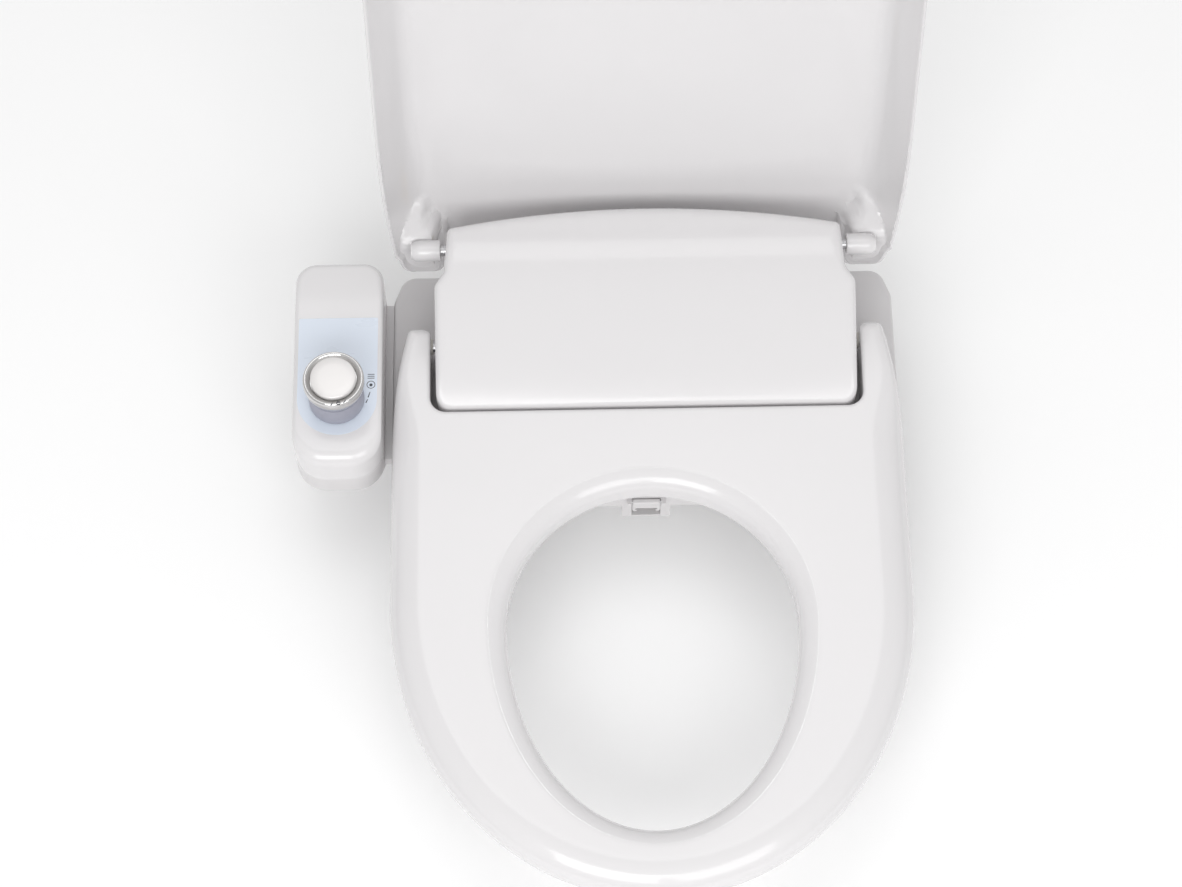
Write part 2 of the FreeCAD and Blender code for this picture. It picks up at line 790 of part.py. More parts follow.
def build_seat():
    """The two halves of the hollow seat and everything that turns with them."""
    low = dim("seat_low")
    top = dim("seat_top")
    parting = dim("seat_parting")
    wall = dim("seat_wall")
    outer = seat_solid(0.0, low, top)
    inner = seat_solid(wall, low + wall, top - wall)
    above = Part.makeBox(600, 700, 100, Vector(-300, -600, parting))
    below = Part.makeBox(600, 700, 100, Vector(-300, -600, parting - 100))
    top_shell = outer.common(above).cut(inner)
    bottom_shell = outer.common(below).cut(inner)
    bottom_shell = bottom_shell.makeFillet(2.0, [edge for edge in bottom_shell.Edges
                                                 if level(low)(edge, edge_mid(edge))])
    for across, along in mirrored(SEAT_SCREWS):
        boss = Part.makeCylinder(4.0, top - wall - low - wall,
                                 Vector(across, along, low + wall))
        pilot = Part.makeCylinder(1.5, 18.0, Vector(across, along, low - 1))
        top_shell = top_shell.fuse(boss.common(above)).cut(pilot)
        bottom_shell = bottom_shell.fuse(boss.common(below)).cut(pilot)
        head = Part.makeCylinder(3.2, 2.2, Vector(across, along, low - 0.01))
        bottom_shell = bottom_shell.cut(head)
    bore = Part.makeCylinder(dim("bush_radius") + 0.02, 2 * dim("seat_half"),
                             Vector(-dim("seat_half"), -dim("seat_pivot_y"), dim("seat_pivot_z")),
                             Vector(1, 0, 0))
    reach = dim("seat_arm_half") - 4.0
    keep = Part.makeBox(2 * reach, 200, 200, Vector(-reach, -150, -50))
    top_shell = top_shell.cut(bore.common(keep))
    node(feature_of("seat_top_shell", top_shell), "seat_top_shell")
    node(feature_of("seat_bottom_shell", bottom_shell), "seat_bottom_shell")

    foil = raised(opening_plan(26.0), 0, 0.6)
    hole = raised(opening_plan(13.0), -1, 2)
    foil = foil.cut(hole)
    foil.translate(Vector(0, 0, top - wall - 0.6 - PIECE_GAP / 4))
    node(feature_of("seat_heater", foil), "seat_heater_foil")

    screws = [Part.makeCylinder(1.45, 16.0, Vector(across, along, low + 0.1))
              .fuse(Part.makeCylinder(3.0, 2.0, Vector(across, along, low + 0.1)))
              for across, along in mirrored(SEAT_SCREWS)]
    node(feature_of("seat_screws", Part.makeCompound(screws)), "seat_screws")

    pads = []
    for across, along in mirrored(BUMPER_PLACES):
        pad_foot = rod("seat_bumper_foot", "z", (str(across), str(along), "0.2"),
                       "bumper_radius", "seat_low - 0.2")
        pads.append(pad_foot)
    node(joined("seat_bumpers", pads), "seat_bumpers")

    bushes = [tube("seat_bush", "x", (low_x, "-seat_pivot_y", "seat_pivot_z"), "bush_radius",
                   "pin_radius + hinge_fit", "13")
              for low_x in ("seat_arm_inner - 1.5", "-seat_arm_inner + 1.5 - 13")]
    node(joined("seat_hinge_bushes", bushes), "seat_hinge_bushes")

    node(block("sensor_case", ("130", "152"), ("-215", "-195"),
               ("seat_low + seat_wall", "seat_low + seat_wall + 5")), "seat_occupancy_sensor")


# ---------------------------------------------------------------- lid

def lid_plan(inset, rear_edge):
    """Plan of the lid in its own plane, -Y away from the hinge."""
    half = dim("lid_half") - inset
    bend = -dim("lid_bend")
    reach = dim("lid_length") - dim("lid_bend") - inset
    taper = -dim("lid_taper")
    rear_half = dim("lid_rear_half") - inset
    tail = rear_edge
    radius = (half - rear_half) / 2 + (tail - taper) ** 2 / (2 * (half - rear_half))
    middle_y = (taper + tail) / 2
    middle_half = half - radius + math.sqrt(radius ** 2 - (middle_y - taper) ** 2)
    edges = [half_ellipse(bend, half, reach, -math.pi, 0.0),
             segment((-rear_half, tail), (rear_half, tail))]
    for side in (1, -1):
        edges.append(segment((side * half, bend), (side * half, taper)))
        edges.append(arc_through((side * half, taper), (side * middle_half, middle_y),
                                 (side * rear_half, tail)))
    return sheet_of(edges)


def build_lid():
    """The lid shell, modelled flat about its hinge line and then swung open."""
    depth = dim("lid_depth")
    wall = dim("lid_wall")
    roll = dim("lid_round")
    tail = dim("lid_ear_tail")
    roof_tail = dim("lid_roof_tail")
    ear = dim("lid_ear_inner")
    outer = raised(lid_plan(0.0, tail), 0, depth)
    notch = Part.makeBox(2 * ear, tail - roof_tail + 1, depth + 2, Vector(-ear, roof_tail, -1))
    outer = outer.cut(notch)

    def ear_corner(item, middle):
        return is_upright(item) and abs(middle.y - tail) < 0.01

    outer = rounded(outer, dim("lid_ear_round"), lambda item, middle: ear_corner(item, middle)
                    and abs(middle.x) > ear + 1)
    outer = rounded(outer, dim("lid_ear_inner_round"),
                    lambda item, middle: ear_corner(item, middle) and abs(middle.x) < ear + 1)
    outer = rounded(outer, 7.5, level(depth))
    inner = raised(lid_plan(wall, tail - wall), -1, depth - wall)
    inner = rounded(inner, dim("lid_ear_round") - wall, lambda item, middle: is_upright(item)
                    and middle.y > tail - wall - 0.01)
    inner = rounded(inner, roll, level(depth - wall))
    block_front = -dim("lid_ear_block")
    reach = dim("lid_half")
    for start in (-reach, ear):
        ear_block = Part.makeBox(reach - ear, tail - block_front, depth,
                                 Vector(start, block_front, dim("lid_ear_recess")))
        inner = inner.cut(ear_block)
    shell = outer.cut(inner)
    over_housing = Part.makeBox(2 * ear, 60.0, depth - wall + 1,
                                Vector(-ear, -wall - roll, -1))
    shell = shell.cut(over_housing)
    boss_length = dim("lid_rear_half") - 1.5 - dim("lid_boss_inner")
    for side in (1, -1):
        start = dim("lid_boss_inner") if side > 0 else -dim("lid_boss_inner") - boss_length
        boss = Part.makeCylinder(dim("lid_boss_radius"), boss_length, Vector(start, 0, 0),
                                 Vector(1, 0, 0))
        shell = shell.fuse(boss)
        bore_start = start - 1 if side > 0 else start + boss_length - 15.0
        bore = Part.makeCylinder(dim("bush_radius") + 0.02, 16.0, Vector(bore_start, 0, 0),
                                 Vector(1, 0, 0))
        shell = shell.cut(bore)
    turn = Rotation(Vector(1, 0, 0), -dim("lid_open_angle"))
    hinge = Placement(Vector(0, dim("lid_pivot_y"), dim("lid_pivot_z")), turn)
    node(feature_of("lid_shell", shell, hinge), "lid_shell")

    bushes = [tube("lid_bush", "x", (low_x, "lid_pivot_y", "lid_pivot_z"), "bush_radius",
                   "pin_radius + hinge_fit", "14.5")
              for low_x in ("lid_boss_inner + 0.2", "-lid_boss_inner - 0.2 - 14.5")]
    node(joined("lid_hinge_bushes", bushes), "lid_hinge_bushes")

    pads = []
    reach = dim("lid_bumper_reach")
    for across in (95.0, -95.0):
        stem = Part.makeCylinder(7.0, depth - wall - reach, Vector(across, -430.0, reach))
        pads.append(rounded(stem, 2.0, level(reach)))
    node(feature_of("lid_bumpers", Part.makeCompound(pads), hinge), "lid_bumpers")


def build_hinges():
    """Fixed hinge pins and the slow-close dampers that hold them."""
    hinges = (("seat", "-seat_pivot_y", "seat_pivot_z", "(cover_half - 9.5)",
               "seat_arm_inner + 9"),
              ("lid", "lid_pivot_y", "lid_pivot_z", "(cover_half - 24.5)",
               "lid_boss_inner + 13"))
    for name, along, height, root, reach in hinges:
        pins = []
        cans = []
        for side in ("", "-"):
            inner = f"{side}{root}"
            outer = f"{side}({reach})"
            low, high = (inner, outer) if side == "" else (outer, inner)
            pins.append(rod(f"{name}_pin", "x", (low, along, height), "pin_radius",
                            f"({high}) - ({low})"))
            start = f"{root} - damper_length" if side == "" else f"-{root}"
            cans.append(rod(f"{name}_damper", "x", (start, along, height),
                            f"{name}_damper_radius", "damper_length"))
        node(joined(f"{name}_hinge_pins", pins), f"{name}_hinge_pins")
        node(joined(f"{name}_dampers", cans), f"{name}_dampers")


# ---------------------------------------------------------------- spray wand

def wand_frame():
    """Placement of the wand's own frame: its tip at the origin, -Y outwards."""
    tip = Vector(-dim("wand_x"), -dim("wand_tip_y"), -dim("wand_tip_z"))
    return Placement(tip, Rotation(Vector(1, 0, 0), dim("wand_angle")))


def gear_face(module, teeth, thinning):
    """Involute gear outline with a tooth gap on the -X axis."""
    pressure = math.radians(20.0)
    pitch = module * teeth / 2
    base = pitch * math.cos(pressure)
    tip = pitch + module
    root = pitch - 1.25 * module
    lead = math.tan(pressure) - pressure
    half_tooth = math.pi / (2 * teeth) - thinning / (2 * pitch)

    def flank_point(radius):
        roll = math.acos(min(1.0, base / radius))
        return half_tooth + lead - (math.tan(roll) - roll)

    start = max(base, root)
    radii = [start + (tip - start) * step / 4 for step in range(5)]
    edges = []
    for tooth in range(int(teeth)):
        middle = math.pi + (tooth + 0.5) * 2 * math.pi / teeth
        following = middle + 2 * math.pi / teeth

        def spot(radius, angle):
            return Vector(radius * math.cos(angle), radius * math.sin(angle), 0)

        rising = [spot(radius, middle - flank_point(radius)) for radius in radii]
        falling = [spot(radius, middle + flank_point(radius)) for radius in reversed(radii)]
        foot_in = spot(root, middle - flank_point(start))
        foot_out = spot(root, middle + flank_point(start))
        next_foot = spot(root, following - flank_point(start))
        for run in (rising, falling):
            curve = Part.BSplineCurve()
            curve.interpolate(run)
            edges.append(curve.toShape())
        edges.append(Part.LineSegment(foot_in, rising[0]).toShape())
        edges.append(Part.Arc(rising[-1], spot(tip, middle), falling[0]).toShape())
        edges.append(Part.LineSegment(falling[-1], foot_out).toShape())
        gap_middle = spot(root, (middle + following) / 2)
        edges.append(Part.Arc(foot_out, gap_middle, next_foot).toShape())
    return sheet_of(edges)


def build_wand():
    """The sliding wand with its rack, the guide, the drive gear and the motor."""
    frame = wand_frame()
    radius = dim("wand_radius")
    length = dim("wand_length")
    module = dim("gear_module")
    pitch = math.pi * module
    rack_place = dim("rack_place")
    pitch_line = radius + 1.0 + 1.25 * module
    gear_x = pitch_line + module * dim("gear_teeth") / 2
    back = Vector(0, 1, 0)

    barrel = Part.makeCylinder(radius, length - 12.0, Vector(0, 12.0, 0), back)
    rail_start = rack_place - 1.5 * pitch
    rail_end = length - 1.0
    rail = Part.makeBox(pitch_line - 1.25 * module - 3.0, rail_end - rail_start, 5.0,
                        Vector(3.0, rail_start, -2.5))
    wand = barrel.fuse(rail)
    slope = math.tan(math.radians(20.0))
    half = pitch / 4 - dim("gear_backlash") / 2
    count = int((rail_end - 2.0 - rack_place) / pitch)
    root_half = half + 1.25 * module * slope
    tip_half = half - module * slope
    root_x = pitch_line - 1.25 * module - 0.01
    tip_x = pitch_line + module - 0.05
    for tooth in range(-1, count + 1):
        middle = rack_place + tooth * pitch
        corners = [(root_x, middle - root_half), (tip_x, middle - tip_half),
                   (tip_x, middle + tip_half), (root_x, middle + root_half)]
        edges = [segment(first, second)
                 for first, second in zip(corners, corners[1:] + corners[:1])]
        wand = wand.fuse(raised(sheet_of(edges), -2.5, 2.5))
    wand = wand.removeSplitter()
    wand = wand.cut(Part.makeCylinder(dim("wand_bore"), length, Vector(0, 11.9, 0), back))
    node(feature_of("wand_tube", wand, frame), "spray_wand")

    head = spun("wand_head", [("0", "0"), ("wand_radius - 2", "0"), ("wand_radius", "2"),
                              ("wand_radius", "12"), ("wand_bore - 0.1", "12"),
                              ("wand_bore - 0.1", "20"), ("0", "20")], role="XY_Plane")
    jets = plane_sketch(head, "jet_holes", "XY_Plane", "wand_radius")
    for along in ("4.5", "7", "9.5"):
        draw_circle(jets, ("0", along), "0.6")
    pocket(head, jets, "3")
    head.Placement = frame
    node(head, "wand_tip")

    gap = dim("slide_gap")
    side = dim("bay_half") - dim("chassis_wall") - 0.1
    guide = Part.makeBox(2 * side, 32.0, 14.0, Vector(-side, 18.0, -7.5))
    guide = guide.cut(Part.makeCylinder(radius + gap, 60.0, Vector(0, 10.0, 0), back))
    slot = Part.makeBox(12.0, 60.0, 5.0 + 2 * gap, Vector(0, 10.0, -2.5 - gap))
    guide = guide.cut(slot)
    node(feature_of("wand_guide", guide, frame), "wand_guide")

    thickness = dim("gear_width")
    gear = raised(gear_face(module, dim("gear_teeth"), dim("gear_backlash")),
                  -thickness / 2, thickness / 2)
    gear = gear.cut(Part.makeCylinder(1.5, thickness + 2, Vector(0, 0, -thickness / 2 - 1)))
    spot = frame.multiply(Placement(Vector(gear_x + 0.05, rack_place, 0), Rotation()))
    node(feature_of("pinion", gear, spot), "drive_pinion")

    under = thickness / 2 + 2.5
    can = Part.makeCylinder(12.0, 16.0, Vector(0, 0, under))
    shaft = Part.makeCylinder(1.42, thickness + 3, Vector(0, 0, -thickness / 2))
    ear_plate = Part.makeBox(34.0, 7.0, 1.2, Vector(-17.0, -3.5, under))
    motor = can.fuse(ear_plate).fuse(shaft)
    node(feature_of("motor", motor, spot), "wand_motor")

    bracket_drop = 4.4
    bracket = Part.makeBox(7.0, 7.0, under + bracket_drop, Vector(11.5, -3.5, -bracket_drop))
    node(feature_of("bracket", bracket, spot), "motor_bracket")


def build_gate():
    """The small guard flap over the wand's way out, and its pin."""
    middle = "-wand_x"
    barrel = rod("gate_barrel", "x", (f"{middle} - gate_half", "-gate_pivot_y", "gate_pivot_z"),
                 "2.1", "2 * gate_half")
    leaf = block("gate_leaf", (f"{middle} - gate_half", f"{middle} + gate_half"),
                 ("-gate_pivot_y - gate_thick / 2", "-gate_pivot_y + gate_thick / 2"),
                 ("gate_pivot_z - gate_drop", "gate_pivot_z"))
    prongs = []
    for side in ("", "-"):
        inner = f"{middle} + {side}(gate_half - 2.5)"
        outer = f"{middle} + {side}gate_half"
        span = (inner, outer) if side == "" else (outer, inner)
        prongs.append(block("gate_prong", span,
                            ("-gate_pivot_y - gate_thick / 2", "-gate_pivot_y + gate_thick / 2"),
                            ("gate_pivot_z - gate_drop - gate_prong", "gate_pivot_z")))
    whole = joined("gate_whole", [barrel, leaf] + prongs)
    bore = rod("gate_bore", "x", (f"{middle} - gate_half - 1", "-gate_pivot_y", "gate_pivot_z"),
               "1.08", "2 * gate_half + 2")
    node(less("gate_cut", whole, [bore]), "wand_gate")
    node(rod("gate_pin_rod", "x", (f"{middle} - gate_half - 3.4", "-gate_pivot_y", "gate_pivot_z"),
             "1", "2 * gate_half + 6.8"), "gate_pin")


# ---------------------------------------------------------------- control panel

def panel_solid(inset, low):
    """The panel's outer form, or its inside when inset by the wall."""
    wide = dim("panel_outer") - dim("panel_inner") - 2 * inset
    deep = dim("panel_front") + dim("panel_rear") - 2 * inset
    high = dim("panel_top") - inset
    start = Vector(-dim("panel_outer") + inset, -dim("panel_front") + inset, low)
    solid = Part.makeBox(wide, deep, high - low, start)
    solid = rounded(solid, dim("panel_front_corner") - inset,
                    lambda edge, middle: is_upright(edge) and middle.y < start.y + 1)
    solid = rounded(solid, dim("panel_rear_corner") - inset,
                    lambda edge, middle: is_upright(edge) and middle.y > start.y + deep - 1)
    if inset:
        return solid
    return rounded(solid, dim("panel_round"), level(high))


def build_panel():
    """The control panel's shells, label, board and encoder, and the bridge to the base."""
    low = dim("panel_low")
    parting = dim("panel_parting")
    wall = dim("panel_wall")
    top = dim("panel_top")
    outer = panel_solid(0.0, low)
    inner = panel_solid(wall, low + wall)
    above = Part.makeBox(200, 400, 100, Vector(-350, -250, parting))
    below = Part.makeBox(200, 400, 100, Vector(-350, -250, parting - 100))
    top_shell = outer.common(above).cut(inner)
    dial = Vector(-dim("dial_x"), -dim("dial_y"), top - 12)
    top_shell = top_shell.cut(Part.makeCylinder(4.4, 20, dial))
    thick = dim("label_thick")
    label = label_solid(0.0, thick)
    label.translate(Vector(0, 0, top - thick))
    recess = label_solid(-0.15, 1.0)
    recess.translate(Vector(0, 0, top - thick))
    top_shell = top_shell.cut(recess)
    label = label.cut(Part.makeCylinder(5.0, 20, dial))
    node(feature_of("panel_top", top_shell), "panel_top_shell")
    node(feature_of("panel_label", label), "panel_label")

    bottom_shell = outer.common(below).cut(inner)
    bridge = Part.makeBox(dim("panel_inner") - dim("chassis_half") + wall / 2,
                          dim("bridge_front") + dim("bridge_rear"), dim("bridge_top") - low,
                          Vector(-dim("panel_inner") - wall / 2, -dim("bridge_front"), low))
    duct = Part.makeBox(dim("panel_inner") - dim("chassis_half") + 2 * wall, 50.0, 4.0,
                        Vector(-dim("panel_inner") - wall - 1, -82.0, low + 2.5))
    bottom_shell = bottom_shell.fuse(bridge).cut(duct)
    for along, height in BRIDGE_SCREWS:
        spot = Vector(-dim("panel_inner") - wall - 1, value(along), value(height))
        bottom_shell = bottom_shell.cut(Part.makeCylinder(1.6, 14, spot, Vector(1, 0, 0)))
    node(feature_of("panel_bottom", bottom_shell), "panel_lower_shell")

    screws = []
    for along, height in BRIDGE_SCREWS:
        start = ("-panel_inner - panel_wall - 0.2", along, height)
        screws.append(rod("bridge_screw", "x", start, "1.5", "12"))
        head = ("-panel_inner - panel_wall - 2.2", along, height)
        screws.append(rod("bridge_screw_head", "x", head, "3", "2"))
    node(joined("bridge_screws", screws), "bridge_screws")

    board = block("panel_card", ("-panel_outer + 10", "-panel_inner - 10"), ("-120", "-25"),
                  ("panel_top - 20", "panel_top - 18.4"))
    chip = block("panel_chip", ("-panel_outer + 20", "-panel_inner - 22"), ("-55", "-35"),
                 ("panel_top - 18.4", "panel_top - 16"))
    relay = block("panel_relay", ("-panel_outer + 20", "-panel_inner - 30"), ("-75", "-62"),
                  ("panel_top - 26", "panel_top - 20"))
    node(joined("panel_circuit", [board, chip, relay]), "panel_board")

    case = block("encoder_case", ("-dial_x - 8", "-dial_x + 8"), ("-dial_y - 8", "-dial_y + 8"),
                 ("panel_top - 18.4", "panel_top - 8"))
    neck = rod("encoder_neck", "z", ("-dial_x", "-dial_y", "panel_top - 8"), "4.2",
               "8 + dial_gap / 2")
    bore = rod("encoder_bore", "z", ("-dial_x", "-dial_y", "panel_top - 14"),
               "dial_shaft_radius + 0.06", "20")
    node(less("encoder", joined("encoder_body", [case, neck]), [bore]), "dial_encoder")


def label_solid(inset, thick):
    """The label: square behind, round in front where it follows the dial."""
    left = -dim("panel_outer") + dim("label_margin") + inset
    right = -dim("panel_inner") - dim("label_margin") - inset
    middle = (left + right) / 2
    half = (right - left) / 2
    rear = -dim("label_rear") - inset
    front = -dim("dial_y") + 1.0
    arc = arc_through((left, front), (middle, front - half), (right, front))
    edges = [arc, segment((right, front), (right, rear)), segment((right, rear), (left, rear)),
             segment((left, rear), (left, front))]
    return raised(sheet_of(edges), 0, thick)


def build_dial():
    """The dial in its separate mouldings, stacked about one upright axis."""
    low = "panel_top + dial_gap"
    spot = ("-dial_x", "-dial_y", "0")
    skirt = spun("dial_skirt", [
        ("dial_shaft_radius + 0.02", low), ("dial_skirt_radius", low),
        ("dial_skirt_radius - 1.2", "dial_top - 12"), ("dial_cap_radius - 2", "dial_top - 12"),
        ("dial_cap_radius - 2", "dial_top - 4"), ("dial_shaft_radius + 0.02", "dial_top - 4")])
    node(place(skirt, spot), "dial_body")
    ring = spun("dial_ring", [
        ("dial_cap_radius - 1.98", "dial_top - 11.98"), ("dial_ring_radius - 1", "dial_top - 11.98"),
        ("dial_ring_radius", "dial_top - 10.5"), ("dial_ring_radius", "dial_top - 3"),
        ("dial_ring_radius - 1.6", "dial_top - 1"), ("dial_cap_radius + 0.3", "dial_top - 0.8"),
        ("dial_cap_radius + 0.3", "dial_top - 4"), ("dial_cap_radius - 1.98", "dial_top - 4")])
    node(place(ring, spot), "dial_ring")
    cap = spun("dial_cap", [
        ("0", "dial_top - 3.95"), ("dial_cap_radius", "dial_top - 3.95"),
        ("dial_cap_radius", "dial_top - 0.8"), ("dial_cap_radius - 1", "dial_top"),
        ("0", "dial_top")])
    node(place(cap, spot), "dial_cap")
    shaft = spun("dial_shaft", [
        ("0", "panel_top - 13.5"), ("dial_shaft_radius", "panel_top - 13.5"),
        ("dial_shaft_radius", "dial_top - 4.5"), ("0", "dial_top - 4.5")])
    node(place(shaft, spot), "dial_shaft")


# ---------------------------------------------------------------- release button

def coil(radius, wire, pitch, turns):
    """A round-wire compression spring along Z."""
    helix = Part.makeHelix(pitch, pitch * turns, radius)
    start = Part.Circle(Vector(radius, 0, 0), Vector(0, 1, 0), wire)
    return Part.Wire(helix).makePipeShell([Part.Wire(start.toShape())], True, True)


def build_button():
    """The side button that frees the unit from its plate, and the spring behind it."""
    face = block("button_face", ("button_x - 8", "button_x"),
                 ("-button_y - button_length / 2 + 0.5", "-button_y + button_length / 2 - 0.5"),
                 ("4", "11"))
    flange = block("button_flange", ("button_x - 8.7", "button_x - 7.2"),
                   ("-button_y - button_length / 2 - 2", "-button_y + button_length / 2 + 2"),
                   ("3", "12"))
    pusher = joined("button_whole", [face, flange])
    node(pusher, "release_button")
    spring = coil(2.8, 0.4, 2.2, 3.2)
    turn = Rotation(Vector(0, 1, 0), RIGHT_ANGLE)
    seat = Placement(Vector(dim("button_x") - 16.5, -dim("button_y"), 7.5), turn)
    node(feature_of("button_coil", spring, seat), "button_spring")


# ---------------------------------------------------------------- water and power inside

def build_water():
    """The water path: inlet, filter, valve, meter, heater and hoses."""
    wall_y = "cover_corner_rear - 4"
    start = ("-inlet_x", wall_y, "inlet_z")
    shank = rod("inlet_shank", "y", start, "inlet_radius - 1", "17")
    thread = rod("inlet_thread", "y", ("-inlet_x", "inlet_thread_start", "inlet_z"),
                 "inlet_radius", "inlet_thread_length")
    collar = rod("inlet_collar", "y", ("-inlet_x", "cover_corner_rear - 9", "inlet_z"),
                 "inlet_radius + 3", "5")
    way = rod("inlet_way", "y", ("-inlet_x", "cover_corner_rear - 12", "inlet_z"), "6.5", "40")
    node(less("inlet", joined("inlet_whole", [shank, thread, collar]), [way]), "water_inlet")
    node(tube("filter", "y", ("-inlet_x", wall_y, "inlet_z"), "6.3", "4.5", "14"), "inlet_filter")

    body = block("valve_body", ("-inlet_x - 15", "-inlet_x + 15"),
                 ("-12", "cover_corner_rear - 9.4"), ("10", "inlet_z + 13"))
    top = rod("valve_coil", "z", ("-inlet_x", "0", "inlet_z + 13"), "9", "12")
    node(joined("valve", [body, top]), "solenoid_valve")

    meter = tube("meter", "x", ("-inlet_x + 15.4", "12", "22"), "8", "3", "30")
    node(meter, "flow_meter")
    node(tube("inlet_hose_run", "x", ("-inlet_x + 45.8", "12", "22"), "3.5", "2",
              "inlet_x - 45.8 - wand_x - 12"), "inlet_hose")
    coupling = block("coupling", ("-wand_x - 11.6", "38"), ("24.5", "27.5"), ("14", "24"))
    link = block("coupling_link", ("-wand_x - 11.6", "-wand_x - 8.4"), ("8", "25"), ("18", "26"))
    node(joined("manifold_whole", [coupling, link]), "water_manifold")

    tank = block("tank_outer", ("38.4", "94"), ("-46", "20"), ("8", "58"))
    room = block("tank_room", ("41", "91.4"), ("-43.4", "17.4"), ("10.6", "55.4"))
    bore = rod("tank_port", "y", ("70", "-47", "48"), "3.1", "5")
    node(less("tank", tank, [room, bore]), "heater_tank")
    legs = [rod("element_leg", "y", ("70", "-48", "48"), "3", "60"),
            rod("element_low", "y", ("70", "-38", "22"), "3", "50"),
            rod("element_end", "z", ("70", "9", "22"), "3", "26")]
    node(joined("element", legs), "heater_element")
    node(tube("outlet", "x", ("28.4", "-30", "16"), "3.5", "2", "9.6"), "outlet_hose")
    node(block("spray_valve", ("12", "28"), ("-44", "-16"), ("8", "26")), "spray_valve")

    can = rod("pump_can", "y", ("-40", "-60", "26"), "14", "34")
    head = block("pump_head", ("-56", "-24"), ("-26", "-12"), ("8", "42"))
    node(joined("pump", [can, head]), "air_pump")


def build_power():
    """The cord inlet, the power supply and the main board."""
    flange = rod("gland_flange", "y", ("cord_x", "cord_wall + 0.5", "cord_z"),
                 "cord_flange_radius", "3")
    neck = rod("gland_neck", "y", ("cord_x", "cover_corner_rear - 6", "cord_z"), "6", "22")
    bore = rod("gland_bore", "y", ("cord_x", "cover_corner_rear - 8", "cord_z"), "cord_bore", "30")
    node(less("gland", joined("gland_whole", [flange, neck]), [bore]), "cord_gland")

    plate = block("supply_plate", ("60", "114"), ("-88", "-50"), ("8", "9.6"))
    core = block("supply_core", ("66", "92"), ("-84", "-56"), ("9.6", "36"))
    winding = rod("supply_winding", "z", ("103", "-70", "9.6"), "8", "18")
    node(joined("supply", [plate, core, winding]), "power_supply")

    card = block("main_card", ("-114", "-62"), ("-88", "-24"), ("12", "13.6"))
    parts = [block("main_chip", ("-104", "-90"), ("-70", "-56"), ("13.6", "16")),
             block("main_relay", ("-86", "-70"), ("-80", "-62"), ("13.6", "26")),
             rod("main_capacitor", "z", ("-98", "-40", "13.6"), "6", "16")]
    legs = [block("main_leg", (low, high), ("-60", "-50"), ("7.5", "12"))
            for low, high in (("-114", "-110"), ("-66", "-62"))]
    node(joined("main_circuit", [card] + parts + legs), "main_board")


def check_and_export():
    """Stop on any failed object, then write one file for each sub-part."""
    doc.recompute()
    for item in doc.Objects:
        if "Invalid" in item.State or "Error" in item.State:
            raise RuntimeError(f"{item.Name} ({item.Label}) failed: {item.State}")
    os.makedirs("parts", exist_ok=True)
    for item in NODES:
        shape = item.Shape
        if shape.isNull() or not shape.isValid() or not shape.Solids:
            raise RuntimeError(f"{item.Label} has no sound solid")
        shape.exportStep(os.path.join("parts", f"{item.Label}.step"))
        print(f"{item.Label}: {len(shape.Solids)} solid(s), {shape.Volume / 1000:.1f} cm3")
    print(f"{len(NODES)} nodes")


build_fixing()
build_chassis()
build_cover()
build_hinges()
build_seat()
build_lid()
build_wand()
build_gate()
build_panel()
build_dial()
build_button()
build_water()
build_power()
check_and_export()
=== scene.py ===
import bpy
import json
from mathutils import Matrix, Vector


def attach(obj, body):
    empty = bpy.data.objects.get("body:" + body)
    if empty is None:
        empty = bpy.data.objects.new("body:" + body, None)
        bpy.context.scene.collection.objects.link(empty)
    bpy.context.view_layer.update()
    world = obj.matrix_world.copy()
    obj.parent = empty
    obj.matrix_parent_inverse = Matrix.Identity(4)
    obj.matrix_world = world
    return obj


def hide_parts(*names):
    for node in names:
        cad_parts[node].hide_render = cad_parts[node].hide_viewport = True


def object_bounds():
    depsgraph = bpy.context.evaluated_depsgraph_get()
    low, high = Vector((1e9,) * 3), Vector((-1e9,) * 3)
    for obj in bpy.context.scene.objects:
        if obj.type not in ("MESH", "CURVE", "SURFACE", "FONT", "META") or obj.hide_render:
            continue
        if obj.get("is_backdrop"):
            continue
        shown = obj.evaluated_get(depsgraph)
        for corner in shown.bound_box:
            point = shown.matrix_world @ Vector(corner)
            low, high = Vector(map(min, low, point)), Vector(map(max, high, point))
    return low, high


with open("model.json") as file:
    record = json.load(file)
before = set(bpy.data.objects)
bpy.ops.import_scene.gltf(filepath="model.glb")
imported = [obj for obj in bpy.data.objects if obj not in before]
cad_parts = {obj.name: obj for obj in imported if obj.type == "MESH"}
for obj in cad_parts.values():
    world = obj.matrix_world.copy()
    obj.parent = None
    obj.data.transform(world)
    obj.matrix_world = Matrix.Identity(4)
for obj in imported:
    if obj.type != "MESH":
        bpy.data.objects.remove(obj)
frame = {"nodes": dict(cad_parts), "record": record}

"""Looks of the electric bidet seat: moulded skins, dial, label, gate, finishes and studio."""

import json
import logging
import math
from dataclasses import dataclass, field
from enum import Enum
from typing import Callable, Sequence

import bmesh
import bpy
import numpy as np
from mathutils import Matrix, Vector
from mathutils.geometry import delaunay_2d_cdt

LOG = logging.getLogger("bidet_seat")
MM = 0.001
Points = np.ndarray
Spot = tuple[float, float]
Corner = tuple[float, float, float]
Height = Callable[[Points], np.ndarray]


# ------------------------------------------------------------------ outlines

